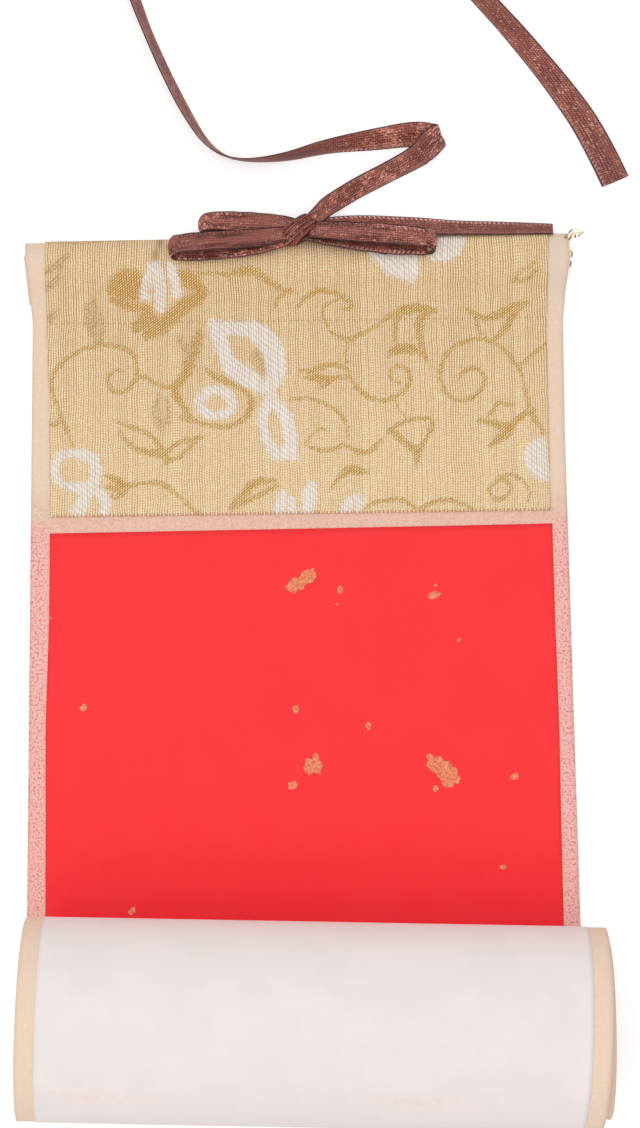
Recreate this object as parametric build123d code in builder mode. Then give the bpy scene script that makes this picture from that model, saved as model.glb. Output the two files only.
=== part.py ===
"""A small hanging scroll, lying face up and partly rolled, with a brocade heading and a tied ribbon."""

from build123d import *
import math
import os

# Sheets, in millimetres
sheet_width = 120.0
face_margin = 3.7
back_margin = 3.9
mount_thickness = 0.2
lining_thickness = 0.15
red_thickness = 0.15
brocade_thickness = 0.3

# Lengths down the face, from the far edge of the hem
flat_length = 177.75
brocade_length = 63.65
cross_strip = 3.4

# Hem and its batten
hem_width = 123.4
flap_width = 124.8
flap_length = 13.75
crease_distance = 18.45
batten_height = 3.8
batten_edge = 1.3
batten_shoulder = 140.0
batten_length = 121.0
batten_gap = 0.1
hem_foot = 1.5
glue_gap = 0.1

# Roll, with the flat spot that its own weight gives it
roll_height = 41.4
flat_spot = 1.4
roll_turns = 4
red_turns = 2
turn_gap = 0.25
turn_spread = 1.6
roller_diameter = 14.0
roller_gap = 0.3
roller_length = 119.0

# Woven figures and gold leaf
figure_height = 0.1
stem_width = 1.1
fleck_height = 0.06
fleck_sides = 5

# Ribbon
ribbon_width = 6.0
ribbon_thickness = 0.4
knot_length = 5.6
knot_diameter = 5.1
knot_side = 1.2
knot_back = 0.65
bow_gap = 0.15
gather_width = 2.6
pinch_height = 1.1
tail_lean = 38.0
tail_gap = 0.8
tail_end = 58.4
tail_dip = 35.0
tail_landing = 8.0

# Bow loops: direction from the knot in degrees, reach, radius of the mouth, and how far it sinks behind the hem
bow_loops = (
    (184, 30.2, 1.8, 0.0),
    (171, 23.0, 1.7, 2.6),
    (-2, 31.0, 1.3, 0.0),
)

# Long tail of the ribbon on the table, from the knot, measured from the middle of the hem's far edge
tail_start = (1.9, 1.9)
tail_route = (
    (9.4, 12.4),
    (17.0, 17.6),
    (24.4, 20.0),
    (31.8, 21.2),
    (30.4, 28.2),
    (21.0, 26.4),
    (9.0, 22.8),
    (-3.0, 20.4),
    (-12.0, 19.6),
    (-19.5, 23.0),
    (-24.5, 31.5),
    (-30.4, 43.3),
    (-35.2, 55.5),
    (-39.6, 68.5),
    (-38.0, 82.5),
    (-27.5, 94.0),
    (-11.5, 98.8),
    (6.0, 97.0),
    (21.0, 89.0),
    (31.0, 76.5),
    (41.5, 62.5),
    (52.8, 52.0),
    (62.2, 39.0),
    (69.2, 26.5),
    (74.0, 13.9),
)

# Places worked out from the sizes above, with Y = 0 in the middle of the scroll's length
roll_near = roll_height / 2 + flat_spot / 2
hem_far = (flat_length + roll_near) / 2
roll_axis = hem_far - flat_length
brocade_low = hem_far - brocade_length
red_top = brocade_low - cross_strip
crease = hem_far - crease_distance
flap_end = hem_far - flap_length
sheet_back = lining_thickness
flap_back = brocade_thickness + mount_thickness
face_width = sheet_width - 2 * face_margin
lining_width = sheet_width - 2 * back_margin
brocade_top = mount_thickness + brocade_thickness
red_face = mount_thickness + red_thickness


class Stretch:
    """A straight or round length of the mount's back face; its depth goes towards the printed face."""

    def __init__(self, name, start, heading, length=0.0, radius=0.0, turn=0.0):
        self.name = name
        self.start = start
        self.heading = heading
        self.length = length
        self.bend = math.copysign(radius, turn)
        self.turn = turn

    def right(self, share):
        angle = math.radians(self.heading + share * self.turn)
        return Vector(math.sin(angle), -math.cos(angle))

    def point(self, share, depth):
        """The point a share of the way along and a depth to the right of the line."""
        if self.turn == 0:
            angle = math.radians(self.heading)
            along = Vector(math.cos(angle), math.sin(angle)) * (self.length * share)
            return self.start + along + self.right(0) * depth
        return self.centre() + self.right(share) * (self.bend + depth)

    def centre(self):
        """The middle of a round stretch's arc."""
        return self.start - self.right(0) * self.bend

    def draw(self, depth, backwards=False):
        """Adds this stretch's edge at a depth to the outline that is being drawn."""
        ends = (1, 0) if backwards else (0, 1)
        if self.turn == 0:
            Line(self.point(ends[0], depth), self.point(ends[1], depth))
        else:
            ThreePointArc(self.point(ends[0], depth), self.point(0.5, depth), self.point(ends[1], depth))


class Run:
    """A line of stretches that follow each other smoothly, in the plane of length and height."""

    def __init__(self, start, heading):
        self.place = start
        self.heading = heading
        self.stretches = []

    def add(self, stretch):
        self.stretches.append(stretch)
        self.place = stretch.point(1, 0)
        self.heading += stretch.turn

    def ahead(self, name, length):
        self.add(Stretch(name, self.place, self.heading, length=length))

    def turned(self, name, radius, turn):
        """Turns left by a positive angle, right by a negative one."""
        self.add(Stretch(name, self.place, self.heading, radius=radius, turn=turn))

    def named(self, name):
        return next(stretch for stretch in self.stretches if stretch.name == name)

    def outline(self, first, last, low, high):
        """Draws the closed section of one layer, from one named stretch to another."""
        names = [stretch.name for stretch in self.stretches]
        chosen = self.stretches[names.index(first) : names.index(last) + 1]
        for stretch in chosen:
            stretch.draw(low)
        Line(chosen[-1].point(1, low), chosen[-1].point(1, high))
        for stretch in reversed(chosen):
            stretch.draw(high, backwards=True)
        Line(chosen[0].point(0, high), chosen[0].point(0, low))


# The hem: a flap under the batten, round its far edge, over its crown and down its slope
shoulder = math.radians(batten_shoulder)
crown_radius = (batten_height - batten_edge * (1 - math.cos(shoulder))) / (1 + math.cos(shoulder))
far_edge_start = hem_far - batten_edge - mount_thickness - brocade_thickness
slope_angle = 180 - batten_shoulder
slope_top = flap_back + batten_edge * (1 - math.cos(shoulder))
foot_drop = hem_foot * (1 - math.cos(math.radians(slope_angle)))
slope_length = (slope_top - flap_back - glue_gap - foot_drop) / math.sin(math.radians(slope_angle))

scroll = Run(Vector(flap_end, flap_back), 0)
scroll.ahead("flap", far_edge_start - flap_end)
scroll.turned("far_edge", batten_edge, batten_shoulder)
scroll.turned("crown", crown_radius, 2 * slope_angle)
scroll.ahead("slope", slope_length)
scroll.turned("foot", hem_foot, -slope_angle)
scroll.ahead("glued", scroll.place.X - flap_end)

# The step from the flap's thickness down to the table, in two like bends
step_drop = scroll.place.Y - sheet_back
step_length = scroll.place.X - crease
step_turn = 2 * math.degrees(math.atan2(step_drop, step_length))
step_radius = step_length / (2 * math.sin(math.radians(step_turn)))
scroll.turned("step_down", step_radius, step_turn)
scroll.turned("step_level", step_radius, -step_turn)

# The flat sheet, in three stretches that the face papers start and end at
scroll.ahead("heading", crease - brocade_low)
scroll.ahead("cross_strip", cross_strip)
scroll.ahead("writing", red_top - roll_axis + flat_spot / 2)

# The roll: its turns lie close at the bottom, and stand apart at the top by more the further in they are
turn_pitch = lining_thickness + red_face + turn_gap
last_bottom = sheet_back + roll_turns * turn_pitch
first_top = roll_height - lining_thickness
last_top = last_bottom + 2 * red_face + roller_diameter + roller_gap
spreads = [turn_spread**turn for turn in range(roll_turns - 1)]
tops = [first_top - (first_top - last_top) * sum(spreads[:turn]) / sum(spreads) for turn in range(roll_turns)]
for turn, top in enumerate(tops):
    bottom = sheet_back + turn * turn_pitch
    scroll.turned(f"near_{turn}", (top - bottom) / 2, -180)
    scroll.ahead(f"top_{turn}", flat_spot)
    scroll.turned(f"far_{turn}", (top - bottom - turn_pitch) / 2, -180)
    scroll.ahead(f"bottom_{turn}", flat_spot)
roll_end = f"bottom_{roll_turns - 1}"
red_end = f"bottom_{red_turns - 1}"

# Lining paper on the back, narrower than the mount
with BuildPart() as lining_paper:
    with BuildSketch(Plane.YZ):
        with BuildLine():
            scroll.outline("step_down", roll_end, -lining_thickness, 0)
        make_face()
    extrude(amount=lining_width / 2, both=True)
lining_paper.part.label = "lining_paper"

# Mount sheet: the hem first, cut to its flare, then the wider flap, and then the sheet and its turns
with BuildPart() as mount_sheet:
    with BuildSketch(Plane.YZ):
        with BuildLine():
            scroll.outline("far_edge", "step_level", 0, mount_thickness)
        make_face()
    extrude(amount=hem_width / 2, both=True)
    with BuildSketch(Plane.XY):
        with BuildLine():
            Polyline(
                (0, crease),
                (sheet_width / 2, crease),
                (hem_width / 2, far_edge_start),
                (hem_width / 2, hem_far),
                (0, hem_far),
                close=True,
            )
        make_face()
        mirror(about=Plane.YZ)
    extrude(amount=roll_height, mode=Mode.INTERSECT)
    with BuildSketch(Plane.YZ):
        with BuildLine():
            scroll.outline("flap", "flap", 0, mount_thickness)
        make_face()
    extrude(amount=flap_width / 2, both=True)
    with BuildSketch(Plane.YZ):
        with BuildLine():
            scroll.outline("heading", roll_end, 0, mount_thickness)
        make_face()
    extrude(amount=sheet_width / 2, both=True)
mount_sheet.part.label = "mount_sheet"

# Red paper on the face, rolled in with the mount for its first turns
with BuildPart() as red_paper:
    with BuildSketch(Plane.YZ):
        with BuildLine():
            scroll.outline("writing", red_end, mount_thickness, red_face)
        make_face()
    extrude(amount=face_width / 2, both=True)
red_paper.part.label = "red_paper"

# Brocade on the face, round the batten with the mount and under it as far as the flap goes
with BuildPart() as brocade_heading:
    with BuildSketch(Plane.YZ):
        with BuildLine():
            scroll.outline("flap", "heading", mount_thickness, brocade_top)
        make_face()
    extrude(amount=face_width / 2, both=True)
brocade_heading.part.label = "brocade_heading"

# Batten in the hem: flat below, crowned above, with rounded edges
with BuildPart() as hem_batten:
    with BuildSketch(Plane.YZ):
        with BuildLine():
            profile = Run(Vector(far_edge_start, flap_back + batten_gap), 0)
            profile.turned("far", batten_edge - batten_gap, batten_shoulder)
            profile.turned("crown", crown_radius - batten_gap, 2 * slope_angle)
            profile.turned("near", batten_edge - batten_gap, batten_shoulder)
            for stretch in profile.stretches:
                stretch.draw(0)
            Line(profile.place, profile.stretches[0].start)
        make_face()
    extrude(amount=batten_length / 2, both=True)
hem_batten.part.label = "hem_batten"

# Roller in the last turn, resting on the end of the sheets
roller_axis_height = last_bottom + red_face + (roller_diameter + roller_gap) / 2
with BuildPart() as roller:
    with BuildSketch(Plane.YZ):
        with Locations((roll_axis, roller_axis_height)):
            Circle(roller_diameter / 2)
    extrude(amount=roller_length / 2, both=True)
roller.part.label = "roller"


def vine(direction, *points):
    """A stem of tangent arcs through the points, setting off in a direction given in degrees."""
    tangent = Vector(1, 0).rotate(Axis.Z, direction)
    for start, end in zip(points, points[1:]):
        arc = TangentArc(start, end, tangent=tangent)
        tangent = arc % 1


def lobe(tip, end, width):
    """A leaf or petal between two points, drawn as two arcs that meet at them."""
    middle = (Vector(*tip) + Vector(*end)) / 2
    side = (Vector(*end) - Vector(*tip)).normalized().rotate(Axis.Z, 90) * (width / 2)
    ThreePointArc(tip, middle + side, end)
    ThreePointArc(end, middle - side, tip)


# Figures are placed from the middle of the brocade's lower edge, across and up
figure_plane = Plane((0, brocade_low, 0))
figure_top = brocade_top + figure_height

# Scrolling stems: the direction each sets off in, and the points it passes
stems = (
    (110, (50.1, 33.5), (39.0, 40.2), (33.4, 27.6), (41.6, 31.2)),
    (-90, (10.9, 40.9), (17.7, 26.0), (24.4, 29.2)),
    (-40, (2.2, 16.4), (11.0, 16.2), (19.6, 19.1)),
    (155, (-37.6, 38.6), (-54.8, 31.5), (-53.0, 22.0)),
    (-20, (-18.9, 32.6), (-17.1, 20.4), (-27.0, 29.7)),
)

# Gold leaves, each lobe from its tip to its end, with its width
gold_lobes = (
    ((19.5, 43.0), (30.5, 44.6), 2.6),
    ((19.9, 36.0), (30.3, 35.6), 3.0),
    ((39.6, 39.0), (51.0, 44.4), 2.4),
    ((38.6, 21.6), (52.4, 25.4), 3.0),
    ((-22.8, 41.2), (-29.0, 28.6), 2.4),
    ((-41.4, 21.6), (-29.8, 13.4), 2.6),
)

# Silver petals, as the leaves
silver_lobes = (
    ((30.6, 55.0), (38.6, 61.6), 6.0),
    ((-8.0, 27.6), (-0.8, 12.0), 7.6),
    ((-0.6, 0.6), (4.2, 9.2), 3.6),
    ((50.0, 7.0), (54.8, 17.2), 6.4),
)

# Silver rings of petals: the ring as a petal, then its open middle
silver_rings = (
    (((-19.6, 46.0), (-4.4, 27.0), 13.0), ((-16.2, 42.4), (-8.6, 34.6), 5.0)),
    (((-56.0, 10.8), (-44.4, 11.2), 8.6), ((-52.2, 10.2), (-48.2, 10.2), 2.0)),
)

# Gold leaf on the red paper: place from the middle of its top edge, size across and lean
flecks = (
    ((-0.6, -12.9), 3.4, 10),
    ((1.6, -11.5), 3.0, 30),
    ((8.9, -14.1), 1.2, 0),
    ((29.9, -14.6), 1.8, 20),
    ((-47.9, -40.0), 1.7, 10),
    ((-1.3, -40.9), 1.7, 40),
    ((14.5, -44.4), 1.3, 0),
    ((2.6, -54.0), 3.4, 15),
    ((30.0, -54.2), 4.4, 20),
    ((32.4, -56.2), 4.0, 50),
    ((-2.0, -57.8), 2.1, 0),
    ((46.5, -56.6), 1.7, 25),
    ((43.6, -76.4), 1.5, 0),
    ((-37.4, -85.1), 1.4, 0),
)

# Silver flowers: the skin of the brocade's face, kept where the petals are
with BuildPart() as silver_flowers:
    with BuildSketch(Plane.YZ):
        with BuildLine():
            scroll.outline("crown", "heading", brocade_top, figure_top)
        make_face()
    extrude(amount=face_width / 2, both=True)
    with BuildSketch(figure_plane):
        for tip, end, width in silver_lobes:
            with BuildLine():
                lobe(tip, end, width)
            make_face()
        for petal, opening in silver_rings:
            with BuildLine():
                lobe(*petal)
            make_face()
            with BuildLine():
                lobe(*opening)
            make_face(mode=Mode.SUBTRACT)
    extrude(amount=roll_height, mode=Mode.INTERSECT)
silver_flowers.part.label = "silver_flowers"

# Gold vines, made the same way; a petal lies over the stem that it crosses
with BuildPart() as gold_vines:
    with BuildSketch(Plane.YZ):
        with BuildLine():
            scroll.outline("crown", "heading", brocade_top, figure_top)
        make_face()
    extrude(amount=face_width / 2, both=True)
    with BuildSketch(figure_plane):
        for direction, *points in stems:
            with BuildLine():
                vine(direction, *points)
            trace(line_width=stem_width)
        for tip, end, width in gold_lobes:
            with BuildLine():
                lobe(tip, end, width)
            make_face()
    extrude(amount=roll_height, mode=Mode.INTERSECT)
    add(silver_flowers.part, mode=Mode.SUBTRACT)
gold_vines.part.label = "gold_vines"

# Gold leaf: the skin of the red paper's face, kept inside each fleck's outline
fleck_plane = Plane((0, red_top, 0))
with BuildPart() as gold_flecks:
    with BuildSketch(Plane.YZ):
        with BuildLine():
            scroll.outline("writing", "writing", red_face, red_face + fleck_height)
        make_face()
    extrude(amount=face_width / 2, both=True)
    with BuildSketch(fleck_plane):
        for place, size, lean in flecks:
            with Locations(place):
                RegularPolygon(size / 2, fleck_sides, rotation=lean)
    extrude(amount=roll_height, mode=Mode.INTERSECT)
gold_flecks.part.label = "gold_flecks"


def gather(plane, reach, width):
    """Draws the plan of a ribbon that is gathered at the knot and widens to its full width."""
    with BuildSketch(plane) as plan:
        with BuildLine():
            Polyline(
                (0, gather_width / 2),
                (reach, width / 2),
                (reach, -width / 2),
                (0, -gather_width / 2),
                close=True,
            )
        make_face()
    return plan.sketch


def bow_loop(direction, reach, mouth, base):
    """A flat loop of ribbon that opens at its far end and is pinched at the knot."""
    angle = math.radians(direction)
    ahead = Vector(math.cos(angle), math.sin(angle), 0)
    foot = Vector(knot_side, knot_y, 0)
    with BuildPart() as loop:
        with BuildSketch(Plane(foot, x_dir=ahead, z_dir=ahead.cross(Vector(0, 0, 1)))):
            with Locations((reach - mouth, base + mouth)):
                Circle(mouth)
            with Locations((0, knot_height)):
                Rectangle(ribbon_thickness, 2 * pinch_height)
            make_hull()
            offset(amount=-ribbon_thickness, mode=Mode.SUBTRACT)
        extrude(amount=ribbon_width / 2, both=True)
        add(gather(Plane(foot, x_dir=ahead, z_dir=(0, 0, 1)), reach, ribbon_width))
        extrude(amount=roll_height, mode=Mode.INTERSECT)
    return loop.part


# The knot rests on the shoulder of the hem's crown
crown = scroll.named("crown")
crown_top = crown.centre().Y + crown_radius + brocade_top
knot_y = hem_far + knot_back
knot_reach = crown_radius + brocade_top + bow_gap + knot_diameter / 2
knot_height = crown.centre().Y + math.sqrt(knot_reach**2 - (knot_y - crown.centre().X) ** 2)

with BuildPart() as ribbon_bow:
    with BuildSketch(Plane.YZ.offset(knot_side - knot_length / 2)):
        with Locations((knot_y, knot_height)):
            Circle(knot_diameter / 2)
    extrude(amount=knot_length)
    for direction, reach, mouth, lift in bow_loops:
        add(bow_loop(direction, reach, mouth, crown_top + bow_gap - lift))
ribbon_bow.part.label = "ribbon_bow"

# The short tail leans with one edge on the table and the other towards the hem
lean = math.radians(tail_lean)
far_edge = scroll.named("far_edge").centre()
tail_height = ribbon_width / 2 * math.sin(lean) + ribbon_thickness / 2 * math.cos(lean)
tail_off = batten_edge + brocade_top + tail_gap + ribbon_thickness / 2
tail_y = far_edge.X + (tail_off - (tail_height - far_edge.Y) * math.cos(lean)) / math.sin(lean)
with BuildPart() as ribbon_short_tail:
    with BuildSketch(Plane.YZ.offset(knot_side)):
        with Locations((tail_y, tail_height)):
            Rectangle(ribbon_width, ribbon_thickness, rotation=-tail_lean)
    extrude(amount=tail_end - knot_side)
    add(ribbon_bow.part, mode=Mode.SUBTRACT)
ribbon_short_tail.part.label = "ribbon_short_tail"


def corner_radii(points):
    """The arc at each corner of a route, as large as its two runs allow."""
    radii = []
    for before, corner, after in zip(points, points[1:], points[2:]):
        arriving = corner - before
        leaving = after - corner
        half_turn = math.radians(arriving.get_angle(leaving)) / 2
        radii.append(0.45 * min(arriving.length, leaving.length) / math.tan(half_turn))
    return radii


# The long tail comes down from the knot, then lies on the table along its route
first_run = Vector(*tail_route[0]) - Vector(*tail_start)
down = first_run.normalized()
foot = Vector(tail_start[0], hem_far + tail_start[1])
dip = math.radians(tail_dip)
dip_drop = tail_landing * (1 - math.cos(dip))
descent = Run(Vector(0, knot_height), -tail_dip)
descent.ahead("down", (knot_height - ribbon_thickness / 2 - dip_drop) / math.sin(dip))
descent.turned("landing", tail_landing, tail_dip)
landing = foot + down * descent.place.X
route = [landing] + [Vector(x, hem_far + y) for x, y in tail_route]
radii = corner_radii(route)
print("long tail radii, mm:", [round(radius, 1) for radius in radii])
with BuildPart() as ribbon_long_tail:
    with BuildSketch(Plane(foot, x_dir=down, z_dir=down.cross(Vector(0, 0, 1)))):
        with BuildLine():
            descent.outline("down", "landing", -ribbon_thickness / 2, ribbon_thickness / 2)
        make_face()
    extrude(amount=ribbon_width / 2, both=True)
    add(gather(Plane(foot, x_dir=down, z_dir=(0, 0, 1)), descent.place.X, ribbon_width))
    extrude(amount=roll_height, mode=Mode.INTERSECT)
    with BuildSketch(Plane.XY):
        with BuildLine() as tail_line:
            FilletPolyline(*route, radius=radii)
        trace(line_width=ribbon_width)
    extrude(amount=ribbon_thickness)
    add(ribbon_bow.part, mode=Mode.SUBTRACT)
print("long tail length, mm:", round(descent.place.X + sum(edge.length for edge in tail_line.edges()), 1))
ribbon_long_tail.part.label = "ribbon_long_tail"

os.makedirs("parts", exist_ok=True)
for piece in (
    lining_paper,
    mount_sheet,
    red_paper,
    brocade_heading,
    silver_flowers,
    gold_vines,
    gold_flecks,
    hem_batten,
    roller,
    ribbon_bow,
    ribbon_short_tail,
    ribbon_long_tail,
):
    export_step(piece.part, f"parts/{piece.part.label}.step")
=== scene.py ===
"""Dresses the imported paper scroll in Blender: papers, brocade, ribbon, finishes, light and camera."""

import math
import random

import bmesh
import bpy
import numpy as np
from mathutils import Matrix, Vector, noise


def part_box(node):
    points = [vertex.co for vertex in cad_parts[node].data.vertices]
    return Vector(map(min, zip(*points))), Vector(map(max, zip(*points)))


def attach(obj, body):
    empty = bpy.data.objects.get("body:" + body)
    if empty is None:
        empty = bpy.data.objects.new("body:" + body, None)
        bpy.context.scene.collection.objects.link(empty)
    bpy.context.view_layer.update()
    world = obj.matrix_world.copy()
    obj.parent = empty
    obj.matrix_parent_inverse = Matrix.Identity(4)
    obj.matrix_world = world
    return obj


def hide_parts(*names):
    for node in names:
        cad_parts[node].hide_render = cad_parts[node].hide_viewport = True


bl_info = {
    "name": "Paper Scroll",
    "version": (1, 0, 0),
    "blender": (4, 5, 0),
    "location": "3D View > Sidebar > Scroll",
    "description": "Builds the papers, the brocade heading and the ribbon of a small paper scroll",
    "category": "Object",
}

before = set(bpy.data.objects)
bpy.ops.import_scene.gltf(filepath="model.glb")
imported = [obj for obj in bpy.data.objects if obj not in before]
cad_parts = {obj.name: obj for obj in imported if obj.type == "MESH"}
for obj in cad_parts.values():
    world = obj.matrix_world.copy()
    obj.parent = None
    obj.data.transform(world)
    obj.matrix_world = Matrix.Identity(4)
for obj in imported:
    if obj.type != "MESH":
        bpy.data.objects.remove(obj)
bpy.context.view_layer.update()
MM = 0.001


def box_mm(node):
    """The lowest and highest corners of a CAD node, in millimetres."""
    return [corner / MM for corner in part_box(node)]


# Places and sizes that the frame gives, in millimetres
brocade_box = box_mm("brocade_heading")
lining_box = box_mm("lining_paper")
red_box = box_mm("red_paper")
roller_box = box_mm("roller")
mount_box = box_mm("mount_sheet")
hem_far = brocade_box[1].y
brocade_low = brocade_box[0].y
red_top = red_box[1].y
face_width = red_box[1].x - red_box[0].x
lining_width = lining_box[1].x - lining_box[0].x
flap_width = mount_box[1].x - mount_box[0].x
roll_height = lining_box[1].z
roller_diameter = roller_box[1].z - roller_box[0].z

# Sheets, in millimetres
sheet_width = 120.0
mount_thickness = 0.2
lining_thickness = 0.15
red_thickness = 0.15
brocade_thickness = 0.3
red_face = mount_thickness + red_thickness
brocade_face = mount_thickness + brocade_thickness
flat_length = 178.15

# Hem and its batten
hem_width = 123.4
flap_length = 13.75
crease_distance = 18.45
batten_height = 3.8
batten_edge = 1.3
batten_shoulder = 140.0
hem_foot = 1.5
hem_flare_length = 1.5
glue_gap = 0.1

# Roll
flat_spot = 1.4
roll_turns = 4
red_turns = 2
turn_gap = 0.25
turn_spread = 1.6
roller_gap = 0.3

# The roll lies a little askew, so the paper shifts to the right as it winds: by so much, between two lengths
roll_skew = math.tan(math.radians(-1.81))
roll_shifts = ((2.9, 5.0, 85.0), (0.8, 110.0, 240.0))
skew_ends_from = 150.0
skew_ends_to = 330.0
roll_spread = 0.007
roll_spread_from = 10.0
roll_spread_to = 40.0
roll_swell = 0.3
swell_reach = 90.0
swell_seed = 3

# How the flat sheet lifts off the table, more towards its sides, between the heading and the roll
sheet_lift = 0.35
lift_at_middle = 0.25
lift_side_from = 30.0
lift_side_to = 62.0
lift_start_length = 12.0
lift_end_from = -16.0
lift_end_to = -2.0
lift_reach = 70.0
lift_seed = 8
hem_ease = 1.0
hem_skew = 0.004

# Unevenness is a sum of waves whose headings, paces and starts are drawn by chance
ripple_waves = 5
ripple_pace_low = 0.6
ripple_pace_high = 1.5
ripple_start_high = 6.28

# How far the sides of each paper stand from straight: length from its far end, left side, right side
mount_sides = (
    (0.0, 1.6, -2.2), (8.0, 0.6, -1.0), (12.0, 0.0, -0.4), (20.0, 0.0, 0.9), (27.0, 0.0, 0.6),
    (40.0, 0.0, 0.3), (60.0, 0.0, 0.0),
)
brocade_sides = (
    (0.0, -0.9, 1.1), (16.0, -0.9, 1.1), (27.0, -0.6, 0.7), (38.0, -0.4, 0.3), (51.0, 0.2, 0.1),
    (79.0, 0.7, -0.1),
)
red_sides = (
    (0.0, 0.6, 0.2), (20.0, 0.6, 0.2), (45.0, 0.0, 0.4), (65.0, 0.2, 0.2), (100.0, 0.4, 0.0),
    (130.0, 0.0, 0.0),
)
red_tilt = 0.006
red_tilt_length = 20.0

# Steps of the papers' grids: across as a share of the half width, then along in millimetres
side_from = 0.9
side_step = 0.02
middle_step = 0.06
flap_step = 1.6
hem_step = 0.3
heading_step = 0.9
face_step = 2.0
lining_step = 3.0
roll_step = 1.2
roll_margin = 4.0

# Weave of the brocade, in millimetres: its grid, the soft edge of its figures, and how often threads repeat
weave_step = 0.5
figure_edge = 0.3
rib_pitch = 0.56
weft_pitch = 0.62
bead_pitch = 0.44
rope_pitch = 0.62
dash_pitch = 0.9
twist_slant = 0.8
hatch_pitch = 1.4
hatch_slant = 0.8
edge_stitch_pitch = 0.9
crease_stitch_pitch = 1.3
crease_up = hem_far - crease_distance - brocade_low

# Colours on the mount: the strength of each mark, from 0 to 1, and how far it reaches or blurs
dye_blur = 0.4
dye_above = 1.5
dye_below = 2.0
dye_end_blur = 1.0
crossing_dye = 0.3
crossing_blur = 0.5
heading_pale = 0.6
heading_pale_reach = 8.0
roll_pale = 0.7
roll_pale_blur = 4.0
# Painted shade on the hem: its strength at the middle, and how much more of it lies towards the right side
hem_shade_strength = 0.5
hem_shade_lean = 0.3

# Colours on the lining and the red paper
# Painted reflection of the red paper on the lining: its strength, and where it starts and is full, along the
# roll
red_reflection_strength = 0.22
red_reflection_from = 78.0
red_reflection_to = 100.0
# Painted shade on the red paper, from so far before the roll
roll_shade_reach = 62.0

# Faint stains on the lining: place across and down the roll from where it starts, and reach each way
lining_stains = (
    (-45.0, 45.0, 13.0, 1.8),
    (22.0, 47.5, 9.0, 1.8),
    (31.0, 95.0, 1.4, 1.2),
)

# Threads that have come loose at the hem's right end: places across, from the hem's far edge, and up
thread_width = 0.4
loose_thread_routes = (
    (
        (60.4, -1.6, 3.5), (61.7, -0.2, 3.9), (62.6, 1.2, 3.9), (64.2, 1.5, 3.5), (65.4, 0.7, 3.2),
        (64.2, -0.1, 3.0),
    ),
    (
        (60.6, -2.4, 3.4), (61.9, -1.2, 3.7), (62.8, -0.4, 3.9), (64.0, 0.8, 3.9), (65.0, 0.2, 3.4),
        (65.6, 1.0, 3.0),
    ),
    ((60.6, -2.0, 3.3), (62.2, -1.4, 3.5), (62.6, 0.1, 3.8), (63.4, 0.8, 3.6), (63.6, -0.6, 3.3)),
    ((60.8, -3.2, 3.2), (62.0, -3.4, 3.2), (62.9, -4.0, 3.0), (62.6, -5.0, 2.6), (61.6, -4.8, 2.6)),
    ((60.8, -5.2, 2.8), (61.9, -5.6, 2.7), (62.7, -6.4, 2.4), (62.0, -7.2, 2.2)),
)

# Flecks of gold leaf. Their torn outline is a sum of waves, each with its strength, its pace and how far
# apart it is read for two flecks in a row
fleck_parts = 15
fleck_wander = 0.4
fleck_waves = ((1.0, 1.6, 7.3), (0.5, 5.0, 3.1))
fleck_height = 0.04
fleck_lap = 0.05
fleck_layers = 3

# Each fleck: place across and down from the red paper's top edge, size across and along, and lean
gold_flecks = (
    (-0.9, 12.9, 4.2, 2.9, 20),
    (0.5, 12.0, 3.4, 2.4, 35),
    (1.7, 11.1, 4.4, 2.6, 35),
    (8.9, 14.1, 1.3, 1.6, 0),
    (8.2, 17.4, 0.6, 0.5, 0),
    (30.2, 13.4, 0.8, 0.7, 0),
    (29.9, 15.6, 2.9, 1.5, 12),
    (35.1, 25.9, 1.0, 0.7, 30),
    (-47.9, 40.0, 1.8, 1.5, 10),
    (-1.2, 40.9, 1.9, 1.7, 40),
    (14.8, 44.8, 1.2, 1.7, 0),
    (2.6, 53.7, 3.7, 4.0, 15),
    (3.2, 51.9, 1.4, 2.2, 0),
    (29.3, 53.4, 4.6, 3.2, -35),
    (31.0, 55.0, 5.2, 4.2, -35),
    (32.6, 56.3, 4.6, 4.2, -60),
    (-2.0, 57.8, 2.0, 1.8, 0),
    (29.3, 59.0, 1.3, 1.4, 0),
    (46.5, 56.6, 1.8, 1.4, 25),
    (43.6, 76.4, 1.5, 1.0, 0),
    (-37.2, 85.0, 1.9, 1.4, 60),
    (-55.4, 19.6, 0.7, 0.5, 0),
)

# Camera: place in millimetres, turns in radians, and focal length in the photograph's own pixels
photo_height = 1128
camera_spot = Vector((8.793, -126.995, 654.04))
camera_pitch = 0.2276
camera_yaw = -0.0063
camera_roll = -0.014
camera_focus = 3011.64
sensor_height = 36
clip_start = 0.01

# Floor and lamp, in metres
floor_half = 3
floor_grey = 0.8
floor_glow = 0.42
lamp_size = 1.1
lamp_spot = (-0.3, -0.35, 1.2)

# Wood of the batten and the roller: light and dark grain, from 0 to 255, and how fine it is each way
wood_colours = {
    "hem_batten": ((222, 190, 140), (196, 158, 108)),
    "roller": ((226, 196, 150), (200, 164, 116)),
}
wood_fineness = (60.0, 900.0, 900.0)

# Ribbon and its weave, in millimetres
ribbon_half = 3.0
ribbon_thickness = 0.24
thread_pitch = 0.34
warp_pitch = 0.66
twill_pitch = 0.55
twill_slant = 0.8
glitter_length = 0.27
glitter_width = 0.33
stitch_pitch = 1.05
stitch_slant = -0.6

# Ribbon shapes, in millimetres
line_resolution = 12
ribbon_columns = 14
ribbon_spacing = 0.28
picot_depth = 0.14
picot_from = 0.99
ribbon_curl = 0.3
ribbon_wave = 0.12
wave_reach = 16.0
wave_seed = 5
fold_bend = 0.25
fold_bulge = 1.2

# Where the ribbon has been tied: hollows across it, and creases, each with its depth, how short it is along
# the ribbon, its reach and its seed
crumple_depth = 0.4
hollow_depth = 0.5
hollows_across = 1.5
creases = ((1.0, 0.12, 2.4, 11), (0.6, 0.6, 3.4, 12))
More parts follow.
